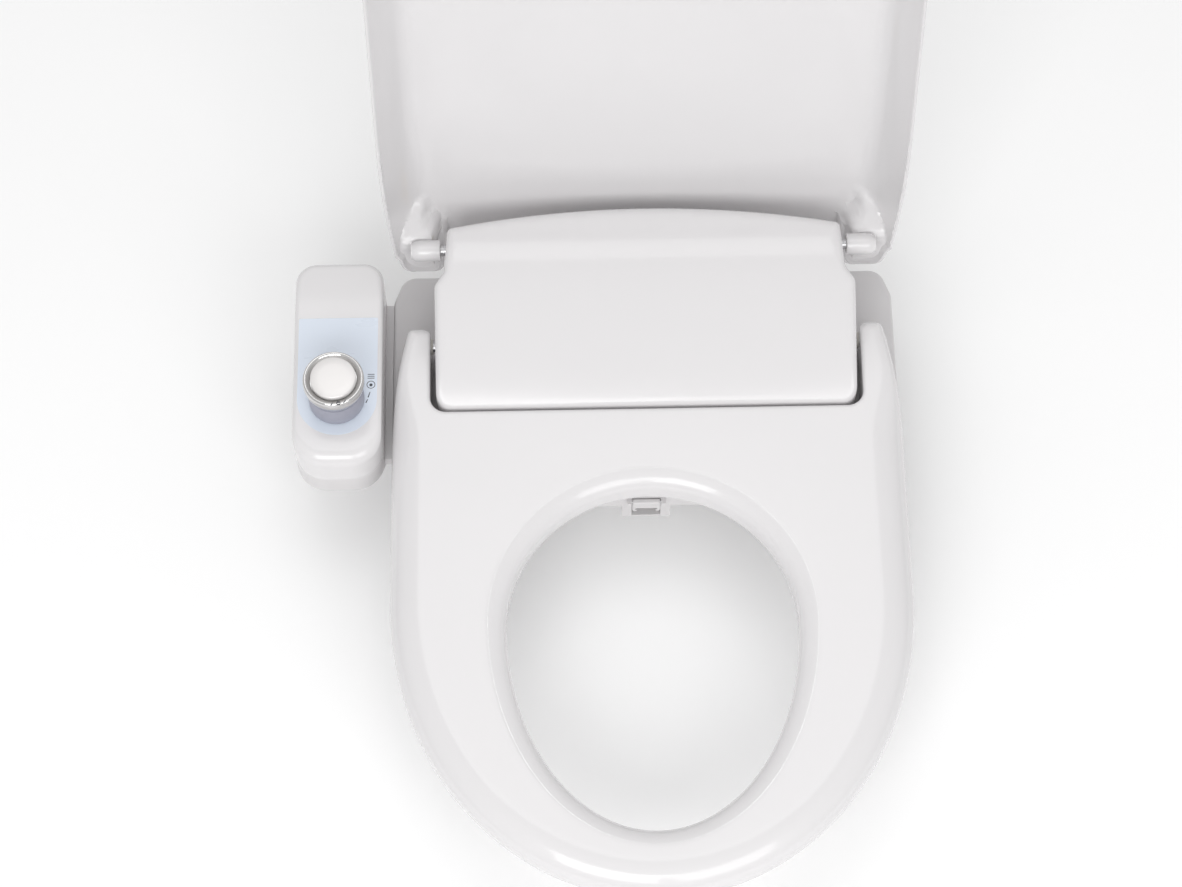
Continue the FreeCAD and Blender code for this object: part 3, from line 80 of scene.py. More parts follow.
def rounded_path(corners: Sequence[Corner], step: float = 1.6) -> Points:
    """Trace a closed outline whose corners are rounded.

    Args:
        corners: x, y and corner radius of each point, in millimetres.
        step: spacing of the points along a rounded corner.

    Returns:
        The outline's points, counter-clockwise.
    """
    spots = np.array([corner[:2] for corner in corners], float)
    path: list[Points] = []
    for index, (_, _, radius) in enumerate(corners):
        here = spots[index]
        back = spots[index - 1] - here
        ahead = spots[(index + 1) % len(spots)] - here
        back_length, ahead_length = np.linalg.norm(back), np.linalg.norm(ahead)
        if radius <= 0:
            path.append(here)
            continue
        back, ahead = back / back_length, ahead / ahead_length
        half = math.acos(float(np.clip(back @ ahead, -1, 1))) / 2
        reach = min(radius / math.tan(half), 0.49 * back_length, 0.49 * ahead_length)
        radius = reach * math.tan(half)
        middle = here + (back + ahead) / np.linalg.norm(back + ahead) * radius / math.sin(half)
        start, end = here + back * reach, here + ahead * reach
        first = math.atan2(*(start - middle)[::-1])
        sweep = math.atan2(*(end - middle)[::-1]) - first
        sweep = (sweep + math.pi) % (2 * math.pi) - math.pi
        count = max(4, int(abs(sweep) * radius / step))
        for turn in np.linspace(first, first + sweep, count + 1):
            path.append(middle + radius * np.array([math.cos(turn), math.sin(turn)]))
    return counter_clockwise(np.array(path))


def counter_clockwise(loop: Points) -> Points:
    """Return a closed loop in counter-clockwise order."""
    ahead = np.roll(loop, -1, axis=0)
    area = np.sum(loop[:, 0] * ahead[:, 1] - ahead[:, 0] * loop[:, 1])
    return loop if area > 0 else loop[::-1]


def even_spacing(loop: Points, step: float) -> Points:
    """Space the points of a closed loop evenly.

    Args:
        loop: the outline.
        step: the wanted spacing in millimetres.

    Returns:
        The same outline with evenly spaced points.
    """
    closed = closed_chain(loop)
    lengths = np.linalg.norm(np.diff(closed, axis=0), axis=1)
    run = np.concatenate([[0.0], np.cumsum(lengths)])
    count = int(run[-1] / step)
    wanted = np.linspace(0, run[-1], count, endpoint=False)
    return np.stack([np.interp(wanted, run, closed[:, axis]) for axis in (0, 1)], axis=1)


def closed_chain(loop: Points) -> Points:
    """Repeat the first point of a loop at its end."""
    return np.vstack([loop, loop[:1]])


def mirrored(corners: Sequence[Corner]) -> list[Corner]:
    """The same corners on the other side of the middle plane, in reverse order."""
    return [(-x, y, radius) for x, y, radius in reversed(corners)]


def offset_inwards(loop: Points, distance: float) -> Points:
    """Move a loop to its left along smoothed normals.

    Args:
        loop: the outline, counter-clockwise.
        distance: how far it moves, in millimetres.

    Returns:
        The moved outline, point for point.
    """
    tangent = np.roll(loop, -1, axis=0) - np.roll(loop, 1, axis=0)
    tangent /= np.linalg.norm(tangent, axis=1)[:, None]
    normal = np.stack([-tangent[:, 1], tangent[:, 0]], axis=1)
    return loop + normal * distance


def ellipse_arc(centre_y: float, across: float, along: float, first: float, last: float,
                count: int = 90) -> list[Corner]:
    """Trace part of an ellipse that is centred on the middle plane.

    Args:
        centre_y: place of its centre.
        across: half its width.
        along: half its length.
        first: angle of the first point, in degrees.
        last: angle of the last point, in degrees.
        count: number of points.

    Returns:
        The points, as corners that are not rounded.
    """
    turns = np.radians(np.linspace(first, last, count))
    return [(across * math.cos(turn), centre_y + along * math.sin(turn), 0.0) for turn in turns]


def taper_arc(half: float, start_y: float, end_half: float, end_y: float,
              count: int = 14) -> list[Corner]:
    """Trace an arc that leaves a straight side and draws in towards its end.

    Args:
        half: half width where the arc starts.
        start_y: place where it starts.
        end_half: half width where it ends.
        end_y: place where it ends.
        count: number of points.

    Returns:
        The points, as corners that are not rounded.
    """
    steps = np.linspace(0, 1, count)
    return [(half - (half - end_half) * share ** 2, start_y + (end_y - start_y) * share, 0.0)
            for share in steps]


def distance_to(points: Points, chain: Points) -> np.ndarray:
    """Distance of each point from an open chain of straight runs.

    Args:
        points: the places to measure from.
        chain: the ends of the runs, in order.

    Returns:
        One distance for each point.
    """
    best = np.full(len(points), np.inf)
    for start, end in zip(chain[:-1], chain[1:]):
        run = end - start
        share = np.clip((points - start) @ run / max(run @ run, 1e-12), 0, 1)
        gap = points - start - share[:, None] * run
        best = np.minimum(best, np.einsum("ij,ij->i", gap, gap))
    return np.sqrt(best)


def within(points: Points, loop: Points) -> np.ndarray:
    """Tell which points lie inside a closed loop.

    Args:
        points: the places to test.
        loop: the outline.

    Returns:
        True or False for each point.
    """
    result = np.zeros(len(points), bool)
    for start, end in zip(loop, np.roll(loop, -1, axis=0)):
        spans = (start[1] > points[:, 1]) != (end[1] > points[:, 1])
        rise = end[1] - start[1]
        if rise == 0:
            continue
        crossing = start[0] + (points[:, 1] - start[1]) * (end[0] - start[0]) / rise
        result ^= spans & (points[:, 0] < crossing)
    return result


def roll(distance: np.ndarray, width: np.ndarray | float, drop: np.ndarray | float) -> np.ndarray:
    """How far a rolled edge has dropped at a distance from the outline.

    Args:
        distance: distance from the edge.
        width: how far in the roll reaches.
        drop: how far it drops at the edge itself.

    Returns:
        The drop, a quarter of an ellipse.
    """
    share = np.clip(distance / width, 0, 1)
    return drop * (1 - np.sqrt(np.clip(1 - (1 - share) ** 2, 0, 1)))


def level_at(height: float) -> Height:
    """A height field that is flat."""
    return lambda flat: np.full(len(flat), height)


def ease(value: np.ndarray, low: float, high: float) -> np.ndarray:
    """Rise smoothly between two values.

    Args:
        value: where to read the curve.
        low: the value where it leaves 0.
        high: the value where it reaches 1.

    Returns:
        The height of the curve.
    """
    share = np.clip((value - low) / (high - low), 0, 1)
    return share * share * (3 - 2 * share)


# ------------------------------------------------------------------ meshes

def piece_from(name: str, verts: Sequence[Sequence[float]], faces: Sequence[Sequence[int]],
               sharp_degrees: float = 40.0) -> bpy.types.Object:
    """Make a smooth-shaded object from vertices in millimetres.

    Args:
        name: the piece's name.
        verts: places in millimetres.
        faces: vertex numbers of each face.
        sharp_degrees: edges that turn by more than this stay crisp.

    Returns:
        The new object.
    """
    mesh = bpy.data.meshes.new(name)
    mesh.from_pydata((np.asarray(verts, float) * MM).tolist(), [], [list(map(int, f)) for f in faces])
    mesh.validate()
    mesh.update()
    mesh.shade_smooth()
    mesh.set_sharp_from_angle(angle=math.radians(sharp_degrees))
    made = bpy.data.objects.new(name, mesh)
    bpy.context.scene.collection.objects.link(made)
    return made


@dataclass
class MouldedSkin:
    """A closed moulding between two height fields over one outline.

    Attributes:
        outline: outer loop, counter-clockwise.
        holes: inner loops.
        insets: distances from each loop where extra rows of points lie.
        spacing: grid spacing elsewhere.
        extra: further points, such as rows along an inner wall.
    """

    outline: Points
    holes: list[Points] = field(default_factory=list)
    insets: tuple[float, ...] = (0.25, 0.8, 1.7, 3.0, 4.6)
    spacing: float = 3.4
    extra: list[Points] = field(default_factory=list)

    def spread(self) -> tuple[Points, Points, list[tuple[int, int]]]:
        """Triangulate the area between the loops.

        Returns:
            The flat points, the triangles, and the border's edges.
        """
        loops = [self.outline] + [hole[::-1] for hole in self.holes]
        border = np.vstack(loops)
        edges: list[tuple[int, int]] = []
        base = 0
        for loop in loops:
            count = len(loop)
            edges += [(base + index, base + (index + 1) % count) for index in range(count)]
            base += count
        closed = [closed_chain(loop) for loop in loops]

        def depth(points: Points) -> np.ndarray:
            """Distance from the nearest loop."""
            return np.min([distance_to(points, chain) for chain in closed], axis=0)

        def inside(points: Points) -> np.ndarray:
            """Whether each point lies on the moulding."""
            keep = within(points, self.outline)
            for hole in self.holes:
                keep &= ~within(points, hole)
            return keep

        rows = [border]
        for inset in self.insets:
            for loop in loops:
                row = offset_inwards(loop, inset)
                keep = inside(row) & (depth(row) > 0.97 * inset)
                rows.append(row[keep])
        low, high = self.outline.min(axis=0), self.outline.max(axis=0)
        columns = np.arange(low[0], high[0], self.spacing)
        lines = np.arange(low[1], high[1], self.spacing * 0.87)
        grid = np.array([(x + (index % 2) * self.spacing / 2, y)
                         for index, y in enumerate(lines) for x in columns])
        grid = grid[inside(grid)]
        clear = depth(grid) > self.insets[-1] + 0.35 * self.spacing
        for row in self.extra:
            row = row[inside(row)]
            row = row[depth(row) > 0.1]
            rows.append(row)
            clear &= nearest_gap(grid, row) > 0.45 * self.spacing
        rows.append(grid[clear])
        points = np.vstack(rows)
        flat, _, faces, origins, _, _ = delaunay_2d_cdt(
            [Vector(point) for point in points], edges, [], 0, 1e-5)
        where = {source: index for index, sources in enumerate(origins) for source in sources}
        flat_points = np.array([tuple(point) for point in flat])
        triangles = np.array(faces)
        middle = flat_points[triangles].mean(axis=1)
        triangles = triangles[inside(middle)]
        return flat_points, triangles, [(where[a], where[b]) for a, b in edges]

    def build(self, name: str, top: Height, bottom: Height, sharp: float = 40.0,
              place: Callable[[Points], Points] | None = None) -> bpy.types.Object:
        """Build the closed moulding.

        Args:
            name: the piece's name.
            top: height of the upper face over each point.
            bottom: height of the lower face over each point.
            sharp: edges that turn by more than this stay crisp.
            place: moves the finished points to where the piece belongs.

        Returns:
            The new object.
        """
        flat, triangles, border = self.spread()
        upper = np.column_stack([flat, top(flat)])
        lower = np.column_stack([flat, np.minimum(bottom(flat), upper[:, 2] - 1e-4)])
        verts = np.vstack([upper, lower])
        count = len(flat)
        faces = [tuple(face) for face in triangles]
        faces += [tuple(count + face[::-1]) for face in triangles]
        faces += [(start, count + start, count + end, end) for start, end in border]
        if place is not None:
            verts = place(verts)
        return piece_from(name, verts, faces, sharp)


def nearest_gap(points: Points, others: Points) -> np.ndarray:
    """Measure from each point to the nearest of some others.

    Args:
        points: the places to measure from.
        others: the places to measure to, which may be none.

    Returns:
        One distance for each point.
    """
    if len(others) == 0:
        return np.full(len(points), np.inf)
    best = np.full(len(points), np.inf)
    for block in np.array_split(others, max(1, len(others) // 200)):
        gap = points[:, None, :] - block[None, :, :]
        best = np.minimum(best, np.sqrt((gap ** 2).sum(axis=2)).min(axis=1))
    return best


def lathe(name: str, profile: Sequence[tuple[float, float]], centre: Vector, axis: str = "z",
          segments: int = 96, sharp: float = 35.0) -> bpy.types.Object:
    """Turn a closed profile about an axis.

    Args:
        name: the piece's name.
        profile: radius and height pairs, in millimetres.
        centre: where the axis starts, in millimetres.
        axis: "z" for upright, "x" for level.
        segments: steps round the axis.
        sharp: edges that turn by more than this stay crisp.

    Returns:
        The new object.
    """
    rings = []
    for turn in np.linspace(0, 2 * math.pi, segments, endpoint=False):
        for radius, height in profile:
            across, up = radius * math.cos(turn), radius * math.sin(turn)
            spot = (across, up, height) if axis == "z" else (height, across, up)
            rings.append((spot[0] + centre.x, spot[1] + centre.y, spot[2] + centre.z))
    count = len(profile)
    faces = []
    for segment in range(segments):
        ahead = (segment + 1) % segments
        for index in range(count):
            following = (index + 1) % count
            faces.append((segment * count + index, ahead * count + index,
                          ahead * count + following, segment * count + following))
    return weld(piece_from(name, rings, faces, sharp))


def weld(item: bpy.types.Object) -> bpy.types.Object:
    """Merge doubled points, drop empty faces and turn the faces outwards.

    Args:
        item: the piece.

    Returns:
        The same piece.
    """
    work = bmesh.new()
    work.from_mesh(item.data)
    bmesh.ops.remove_doubles(work, verts=work.verts, dist=1e-7)
    bmesh.ops.dissolve_degenerate(work, dist=1e-7, edges=work.edges)
    bmesh.ops.recalc_face_normals(work, faces=work.faces)
    work.to_mesh(item.data)
    work.free()
    return item


# ------------------------------------------------------------------ finishes

class Texture(Enum):
    """The kinds of surface that the mouldings and metals have."""

    POLISHED = "polished"
    SPARK = "spark"
    SPUN = "spun"


@dataclass(frozen=True)
class Finish:
    """One finish: its colour and the small variation that a real surface has."""

    name: str
    colour: tuple[float, float, float]
    roughness: float
    metallic: float = 0.0
    coat: float = 0.0
    texture: Texture = Texture.POLISHED
    grain_depth: float = 0.05
    grain_scale: float = 600.0
    mottle: float = 0.02
    handling: float = 0.05

    def material(self) -> bpy.types.Material:
        """Build the material, or return the one built before.

        Returns:
            The node material.
        """
        found = bpy.data.materials.get(f"finish_{self.name}")
        if found is not None:
            return found
        made = bpy.data.materials.new(f"finish_{self.name}")
        made.use_nodes = True
        nodes, links = made.node_tree.nodes, made.node_tree.links
        shader = nodes["Principled BSDF"]
        shader.inputs["Metallic"].default_value = self.metallic
        shader.inputs["Coat Weight"].default_value = self.coat
        shader.inputs["Coat Roughness"].default_value = 0.06
        tone = nodes.new("ShaderNodeGroup")
        tone.node_tree = tone_group()
        tone.inputs["Colour"].default_value = (*self.colour, 1.0)
        tone.inputs["Amount"].default_value = self.mottle
        links.new(tone.outputs["Colour"], shader.inputs["Base Color"])
        rub = nodes.new("ShaderNodeGroup")
        rub.node_tree = handling_group()
        rub.inputs["Roughness"].default_value = self.roughness
        rub.inputs["Amount"].default_value = self.handling
        links.new(rub.outputs["Roughness"], shader.inputs["Roughness"])
        grain = nodes.new("ShaderNodeGroup")
        grain.node_tree = grain_group(self.texture)
        grain.inputs["Scale"].default_value = self.grain_scale
        bump = nodes.new("ShaderNodeBump")
        bump.inputs["Strength"].default_value = self.grain_depth
        bump.inputs["Distance"].default_value = 0.0004
        links.new(grain.outputs["Height"], bump.inputs["Height"])
        links.new(bump.outputs["Normal"], shader.inputs["Normal"])
        return made


def new_group(name: str, inputs: Sequence[tuple[str, str]], output: tuple[str, str]
              ) -> tuple[bpy.types.NodeTree, bpy.types.Node, bpy.types.Node, bool]:
    """Start a shader node group, or find the one built before.

    Args:
        name: the group's name.
        inputs: name and socket type of each input.
        output: name and socket type of the output.

    Returns:
        The group, its input and output nodes, and whether it is new.
    """
    found = bpy.data.node_groups.get(name)
    if found is not None:
        return found, found.nodes["Group Input"], found.nodes["Group Output"], False
    group = bpy.data.node_groups.new(name, "ShaderNodeTree")
    for label, kind in inputs:
        group.interface.new_socket(name=label, in_out="INPUT", socket_type=kind)
    group.interface.new_socket(name=output[0], in_out="OUTPUT", socket_type=output[1])
    source = group.nodes.new("NodeGroupInput")
    sink = group.nodes.new("NodeGroupOutput")
    return group, source, sink, True


def noise_node(group: bpy.types.NodeTree, scale: float, detail: float,
               stretch: tuple[float, float, float] = (1.0, 1.0, 1.0)) -> bpy.types.Node:
    """Add noise in the object's own coordinates.

    Args:
        group: the node group that it goes into.
        scale: how fine the noise is.
        detail: how many finer layers it has.
        stretch: scale of each axis.

    Returns:
        The noise node.
    """
    coordinates = group.nodes.new("ShaderNodeTexCoord")
    mapping = group.nodes.new("ShaderNodeMapping")
    mapping.inputs["Scale"].default_value = stretch
    noise = group.nodes.new("ShaderNodeTexNoise")
    noise.inputs["Scale"].default_value = scale
    noise.inputs["Detail"].default_value = detail
    group.links.new(coordinates.outputs["Object"], mapping.inputs["Vector"])
    group.links.new(mapping.outputs["Vector"], noise.inputs["Vector"])
    return noise


def centred_noise(group: bpy.types.NodeTree, scale: float, detail: float,
                  stretch: tuple[float, float, float] = (1.0, 1.0, 1.0)
                  ) -> tuple[bpy.types.NodeSocket, bpy.types.Node]:
    """Add noise that varies about zero, and a node to scale and add it.

    Args:
        group: the node group that they go into.
        scale: how fine the noise is.
        detail: how many finer layers it has.
        stretch: scale of each axis.

    Returns:
        The scaled noise as an output socket, and the node that scales it.
    """
    noise = noise_node(group, scale, detail, stretch)
    centred = group.nodes.new("ShaderNodeMath")
    centred.operation = "SUBTRACT"
    centred.inputs[1].default_value = 0.5
    scaled = group.nodes.new("ShaderNodeMath")
    scaled.operation = "MULTIPLY_ADD"
    group.links.new(noise.outputs["Fac"], centred.inputs[0])
    group.links.new(centred.outputs[0], scaled.inputs[0])
    return scaled.outputs[0], scaled


def tone_group() -> bpy.types.NodeTree:
    """Slow drift of tone over a moulding.

    Returns:
        A group with Colour and Amount in and Colour out.
    """
    group, source, sink, fresh = new_group(
        "moulding_tone", [("Colour", "NodeSocketColor"), ("Amount", "NodeSocketFloat")],
        ("Colour", "NodeSocketColor"))
    if not fresh:
        return group
    drift, scaled = centred_noise(group, 9.0, 3.0)
    scaled.inputs[2].default_value = 1.0
    shade = group.nodes.new("ShaderNodeVectorMath")
    shade.operation = "SCALE"
    group.links.new(source.outputs["Amount"], scaled.inputs[1])
    group.links.new(source.outputs["Colour"], shade.inputs[0])
    group.links.new(drift, shade.inputs["Scale"])
    group.links.new(shade.outputs[0], sink.inputs["Colour"])
    return group


def handling_group() -> bpy.types.NodeTree:
    """Faint wiped and handled patches in the gloss.

    Returns:
        A group with Roughness and Amount in and Roughness out.
    """
    group, source, sink, fresh = new_group(
        "handled_gloss", [("Roughness", "NodeSocketFloat"), ("Amount", "NodeSocketFloat")],
        ("Roughness", "NodeSocketFloat"))
    if not fresh:
        return group
    patches, added = centred_noise(group, 26.0, 5.0, (1.0, 3.0, 1.0))
    added.use_clamp = True
    group.links.new(source.outputs["Amount"], added.inputs[1])
    group.links.new(source.outputs["Roughness"], added.inputs[2])
    group.links.new(patches, sink.inputs["Roughness"])
    return group


def grain_group(texture: Texture) -> bpy.types.NodeTree:
    """Fine relief: moulded flow, spark-eroded grain or spun lines.

    Args:
        texture: which relief.

    Returns:
        A group with Scale in and Height out.
    """
    group, source, sink, fresh = new_group(
        f"relief_{texture.value}", [("Scale", "NodeSocketFloat")], ("Height", "NodeSocketFloat"))
    if not fresh:
        return group
    stretch = (1.0, 14.0, 1.0) if texture is Texture.SPUN else (1.0, 1.0, 1.0)
    detail = 2.0 if texture is Texture.POLISHED else 6.0
    noise = noise_node(group, 1.0, detail, stretch)
    group.links.new(source.outputs["Scale"], noise.inputs["Scale"])
    group.links.new(noise.outputs["Fac"], sink.inputs["Height"])
    return group


WHITE = Finish("white_shell", (0.735, 0.722, 0.728), 0.16, coat=0.35, grain_depth=0.03,
               grain_scale=220.0, mottle=0.02, handling=0.05)
GREY = Finish("grey_shell", (0.66, 0.645, 0.65), 0.30, coat=0.1, grain_depth=0.10,
              grain_scale=1400.0, texture=Texture.SPARK, mottle=0.03)
LABEL = Finish("label_film", (0.70, 0.76, 0.85), 0.28, coat=0.2, grain_depth=0.05,
               grain_scale=1800.0, texture=Texture.SPARK, mottle=0.02)
BARREL = Finish("dial_grey", (0.33, 0.335, 0.40), 0.32, grain_depth=0.12, grain_scale=1600.0,
                texture=Texture.SPARK, mottle=0.04)
CHROME = Finish("chrome_trim", (0.66, 0.655, 0.65), 0.10, metallic=1.0, grain_depth=0.03,
                grain_scale=400.0, handling=0.08)
CAP = Finish("satin_cap", (0.80, 0.78, 0.77), 0.38, metallic=0.35, coat=0.2, grain_depth=0.08,
             grain_scale=1200.0, texture=Texture.SPARK)
INK = Finish("printed_ink", (0.05, 0.055, 0.07), 0.45, grain_depth=0.1, grain_scale=2200.0,
             texture=Texture.SPARK)
RUBBER = Finish("rubber_pads", (0.42, 0.42, 0.41), 0.62, grain_depth=0.25, grain_scale=900.0,
                texture=Texture.SPARK, mottle=0.08)
STEEL = Finish("steel", (0.56, 0.56, 0.57), 0.28, metallic=1.0, grain_depth=0.2,
               grain_scale=500.0, texture=Texture.SPUN, handling=0.15)
NATURAL = Finish("plate_plastic", (0.72, 0.70, 0.65), 0.40, grain_depth=0.15, grain_scale=900.0,
                 texture=Texture.SPARK, mottle=0.05)
BLACK = Finish("dark_plastic", (0.03, 0.03, 0.035), 0.42, grain_depth=0.2, grain_scale=1100.0,
               texture=Texture.SPARK, mottle=0.10)
BOARD = Finish("circuit_green", (0.03, 0.16, 0.07), 0.35, coat=0.3, grain_depth=0.3,
               grain_scale=900.0, texture=Texture.SPARK, mottle=0.15)
HOSE = Finish("hose_rubber", (0.20, 0.20, 0.21), 0.5, grain_depth=0.2, grain_scale=700.0,
              texture=Texture.SPARK, mottle=0.08)
FOIL = Finish("foil", (0.70, 0.70, 0.70), 0.3, metallic=1.0, grain_depth=0.4, grain_scale=300.0)
BRASS = Finish("brass_fitting", (0.60, 0.43, 0.17), 0.25, metallic=1.0, grain_depth=0.15,
               grain_scale=500.0, texture=Texture.SPUN, mottle=0.08, handling=0.12)
BY_SLOT = {finish.name: finish for finish in (
    WHITE, GREY, LABEL, BARREL, CHROME, CAP, RUBBER, STEEL, NATURAL, BLACK, BOARD, HOSE, FOIL,
    BRASS)}


def dress(item: bpy.types.Object, finish: Finish) -> None:
    """Give a new piece its finish."""
    item.data.materials.clear()
    item.data.materials.append(finish.material())


def dress_nodes() -> None:
    """Give every node that stays visible the finish of its slot."""
    slots = {part["node"]: part["material_slot"] for part in frame["record"]["subparts"]}
    for name, item in frame["nodes"].items():
        finish = BY_SLOT[slots[name]]
        for slot in item.material_slots:
            slot.material = finish.material()
        LOG.info("node %s wears %s", name, finish.name)


# ------------------------------------------------------------------ seat

@dataclass
class SeatRing:
    """The hollow seat: a D-shaped ring with two arms that flank the housing."""

    half: float = 190.0
    bend: float = 245.0
    tip: float = 467.0
    taper: float = 130.0
    arm_tip: float = 29.0
    arm_half: float = 178.0
    arm_inner: float = 161.0
    cutout: float = 98.7
    opening_half: float = 105.8
    opening_middle: float = 266.0
    opening_front: float = 421.0
    opening_rear: float = 159.0
    top: float = 50.8
    arm_rise: float = 3.4
    low: float = 20.0

    def outline(self) -> tuple[Points, Points, Points]:
        """Trace the ring.

        Returns:
            The whole outline, its outer side, and its housing side.
        """
        side = taper_arc(self.half, -self.taper, self.arm_half, -self.arm_tip)
        front = ellipse_arc(-self.bend, self.half, self.tip - self.bend, -180, 0)
        right = side[:-1] + [(self.arm_half, -self.arm_tip, 6.0)]
        left = mirrored(right)
        housing = [(self.arm_inner, -self.arm_tip, 5.0), (self.arm_inner, -self.cutout, 12.0),
                   (-self.arm_inner, -self.cutout, 12.0), (-self.arm_inner, -self.arm_tip, 5.0)]
        loop = even_spacing(rounded_path(front + right + housing + left), 2.2)
        near_housing = ((np.abs(loop[:, 0]) < self.arm_inner + 1.0)
                        & (loop[:, 1] > -self.cutout - 1.0))
        outer = self.ordered(loop, ~near_housing)
        inner = self.ordered(loop, near_housing)
        return loop, outer, inner

    @staticmethod
    def ordered(loop: Points, keep: np.ndarray) -> Points:
        """The kept stretch of a closed loop as one open chain."""
        start = int(np.argmax(keep & ~np.roll(keep, 1)))
        turned = np.roll(loop, -start, axis=0)
        return turned[: int(keep.sum())]

    def opening(self) -> Points:
        """Trace the opening."""
        ahead = self.opening_front - self.opening_middle
        behind = self.opening_middle - self.opening_rear
        front = ellipse_arc(-self.opening_middle, self.opening_half, ahead, -180, 0)
        rear = ellipse_arc(-self.opening_middle, self.opening_half, behind, 0, 180)
        return even_spacing(counter_clockwise(np.array([c[:2] for c in front[:-1] + rear[:-1]])), 2.0)

    def build(self) -> None:
        """Build the ring and let it stand for both shells."""
        loop, outer, housing = self.outline()
        hole = self.opening()
        closed_hole = closed_chain(hole)

        def top(flat: Points) -> np.ndarray:
            """Height of the seat's upper face."""
            arm = ease(flat[:, 1], -125.0, -62.0)
            height = self.top + self.arm_rise * ease(flat[:, 1], -150.0, -45.0)
            height -= roll(distance_to(flat, outer), 24.0 - 17.0 * arm, 18.0 - 11.0 * arm)
            height -= roll(distance_to(flat, housing), 2.6, 2.4)
            opening = distance_to(flat, closed_hole)
            height -= roll(opening, 17.0, 12.0)
            return height - 2.4 * np.exp(-(opening / 34.0) ** 2)

        def bottom(flat: Points) -> np.ndarray:
            """Height of the seat's lower face."""
            rise = roll(distance_to(flat, outer), 7.0, 6.0)
            rise += roll(distance_to(flat, housing), 3.0, 3.0)
            return self.low + rise + roll(distance_to(flat, closed_hole), 6.0, 6.0)

        skin = MouldedSkin(loop, [hole])
        ring = skin.build("seat_ring_skin", top, bottom)
        dress(ring, WHITE)
        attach(ring, "seat")
        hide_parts("seat_top_shell", "seat_bottom_shell")
        LOG.info("seat ring: %d faces", len(ring.data.polygons))


# ------------------------------------------------------------------ housing

@dataclass
class HousingCover:
    """The raised housing that slopes down to the seat."""

    half: float = 156.5
    step_half: float = 149.0
    rear_half: float = 146.5
    front: float = 96.0
    rear: float = 45.0
    rear_corner: float = 30.4
    front_height: float = 50.2
    ridge_y: float = 11.4
    ridge_height: float = 101.6
    crown: float = 4.6
    low: float = 16.2
    wall: float = 2.5

    def outline(self) -> Points:
        """Trace the housing in plan."""
        right = [(self.half, -self.front, 11.0), (self.half, -13.0, 7.0),
                 (self.step_half, -3.0, 7.0), (self.rear_half, self.rear_corner, 4.0)]
        bulge = self.rear - self.rear_corner
        back = [(share * self.rear_half, self.rear_corner + bulge * (1 - share ** 2), 0.0)
                for share in np.linspace(0.95, -0.95, 28)]
        left = mirrored(right)
        return even_spacing(rounded_path(right + back + left), 2.0)

    def slope(self, along: np.ndarray) -> np.ndarray:
        """Height of the crowned slope.

        Args:
            along: places from front to rear.

        Returns:
            One height for each place.
        """
        share = np.clip((along + self.front) / (self.ridge_y + self.front), 0, 1.35)
        climb = self.ridge_height - self.front_height
        straight = self.front_height + climb * share
        rise = straight + 4 * self.crown * share * (1 - share)
        level = self.ridge_height + 0.4
        softness = 3.0
        return -softness * np.log(np.exp(-rise / softness) + np.exp(-level / softness))

    def build(self) -> None:
        """Build the cover as a thin shell open underneath."""
        loop = self.outline()
        closed = closed_chain(loop)

        def edge_distance(flat: Points) -> np.ndarray:
            """Distance from the outline."""
            return distance_to(flat, closed)

        def top(flat: Points) -> np.ndarray:
            """Height of the crowned slope with its rolled edge."""
            front = ease(flat[:, 1], -96.0, -60.0)
            return self.slope(flat[:, 1]) - roll(edge_distance(flat), 3.0 + 3.5 * front,
                                                 2.6 + 3.4 * front)

        def bottom(flat: Points) -> np.ndarray:
            """Height of the rim, and of the ceiling inside it."""
            depth = np.clip(edge_distance(flat) - self.wall, 0, None)
            room = self.slope(flat[:, 1]) - self.wall - 2.0 - self.low
            return self.low + room * (depth > 0.02) - room * (depth > 0.02) * roll(depth, 5.0, 0.4)

        rows = [offset_inwards(loop, self.wall + gap) for gap in (-0.02, 0.06, 1.0, 3.0)]
        skin = MouldedSkin(loop, insets=(0.25, 0.7, 1.4), extra=rows)
        cover = skin.build("housing_cover_skin", top, bottom)
        dress(cover, WHITE)
        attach(cover, "base")
        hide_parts("housing_cover")
        LOG.info("housing cover: %d faces", len(cover.data.polygons))


# ------------------------------------------------------------------ lid

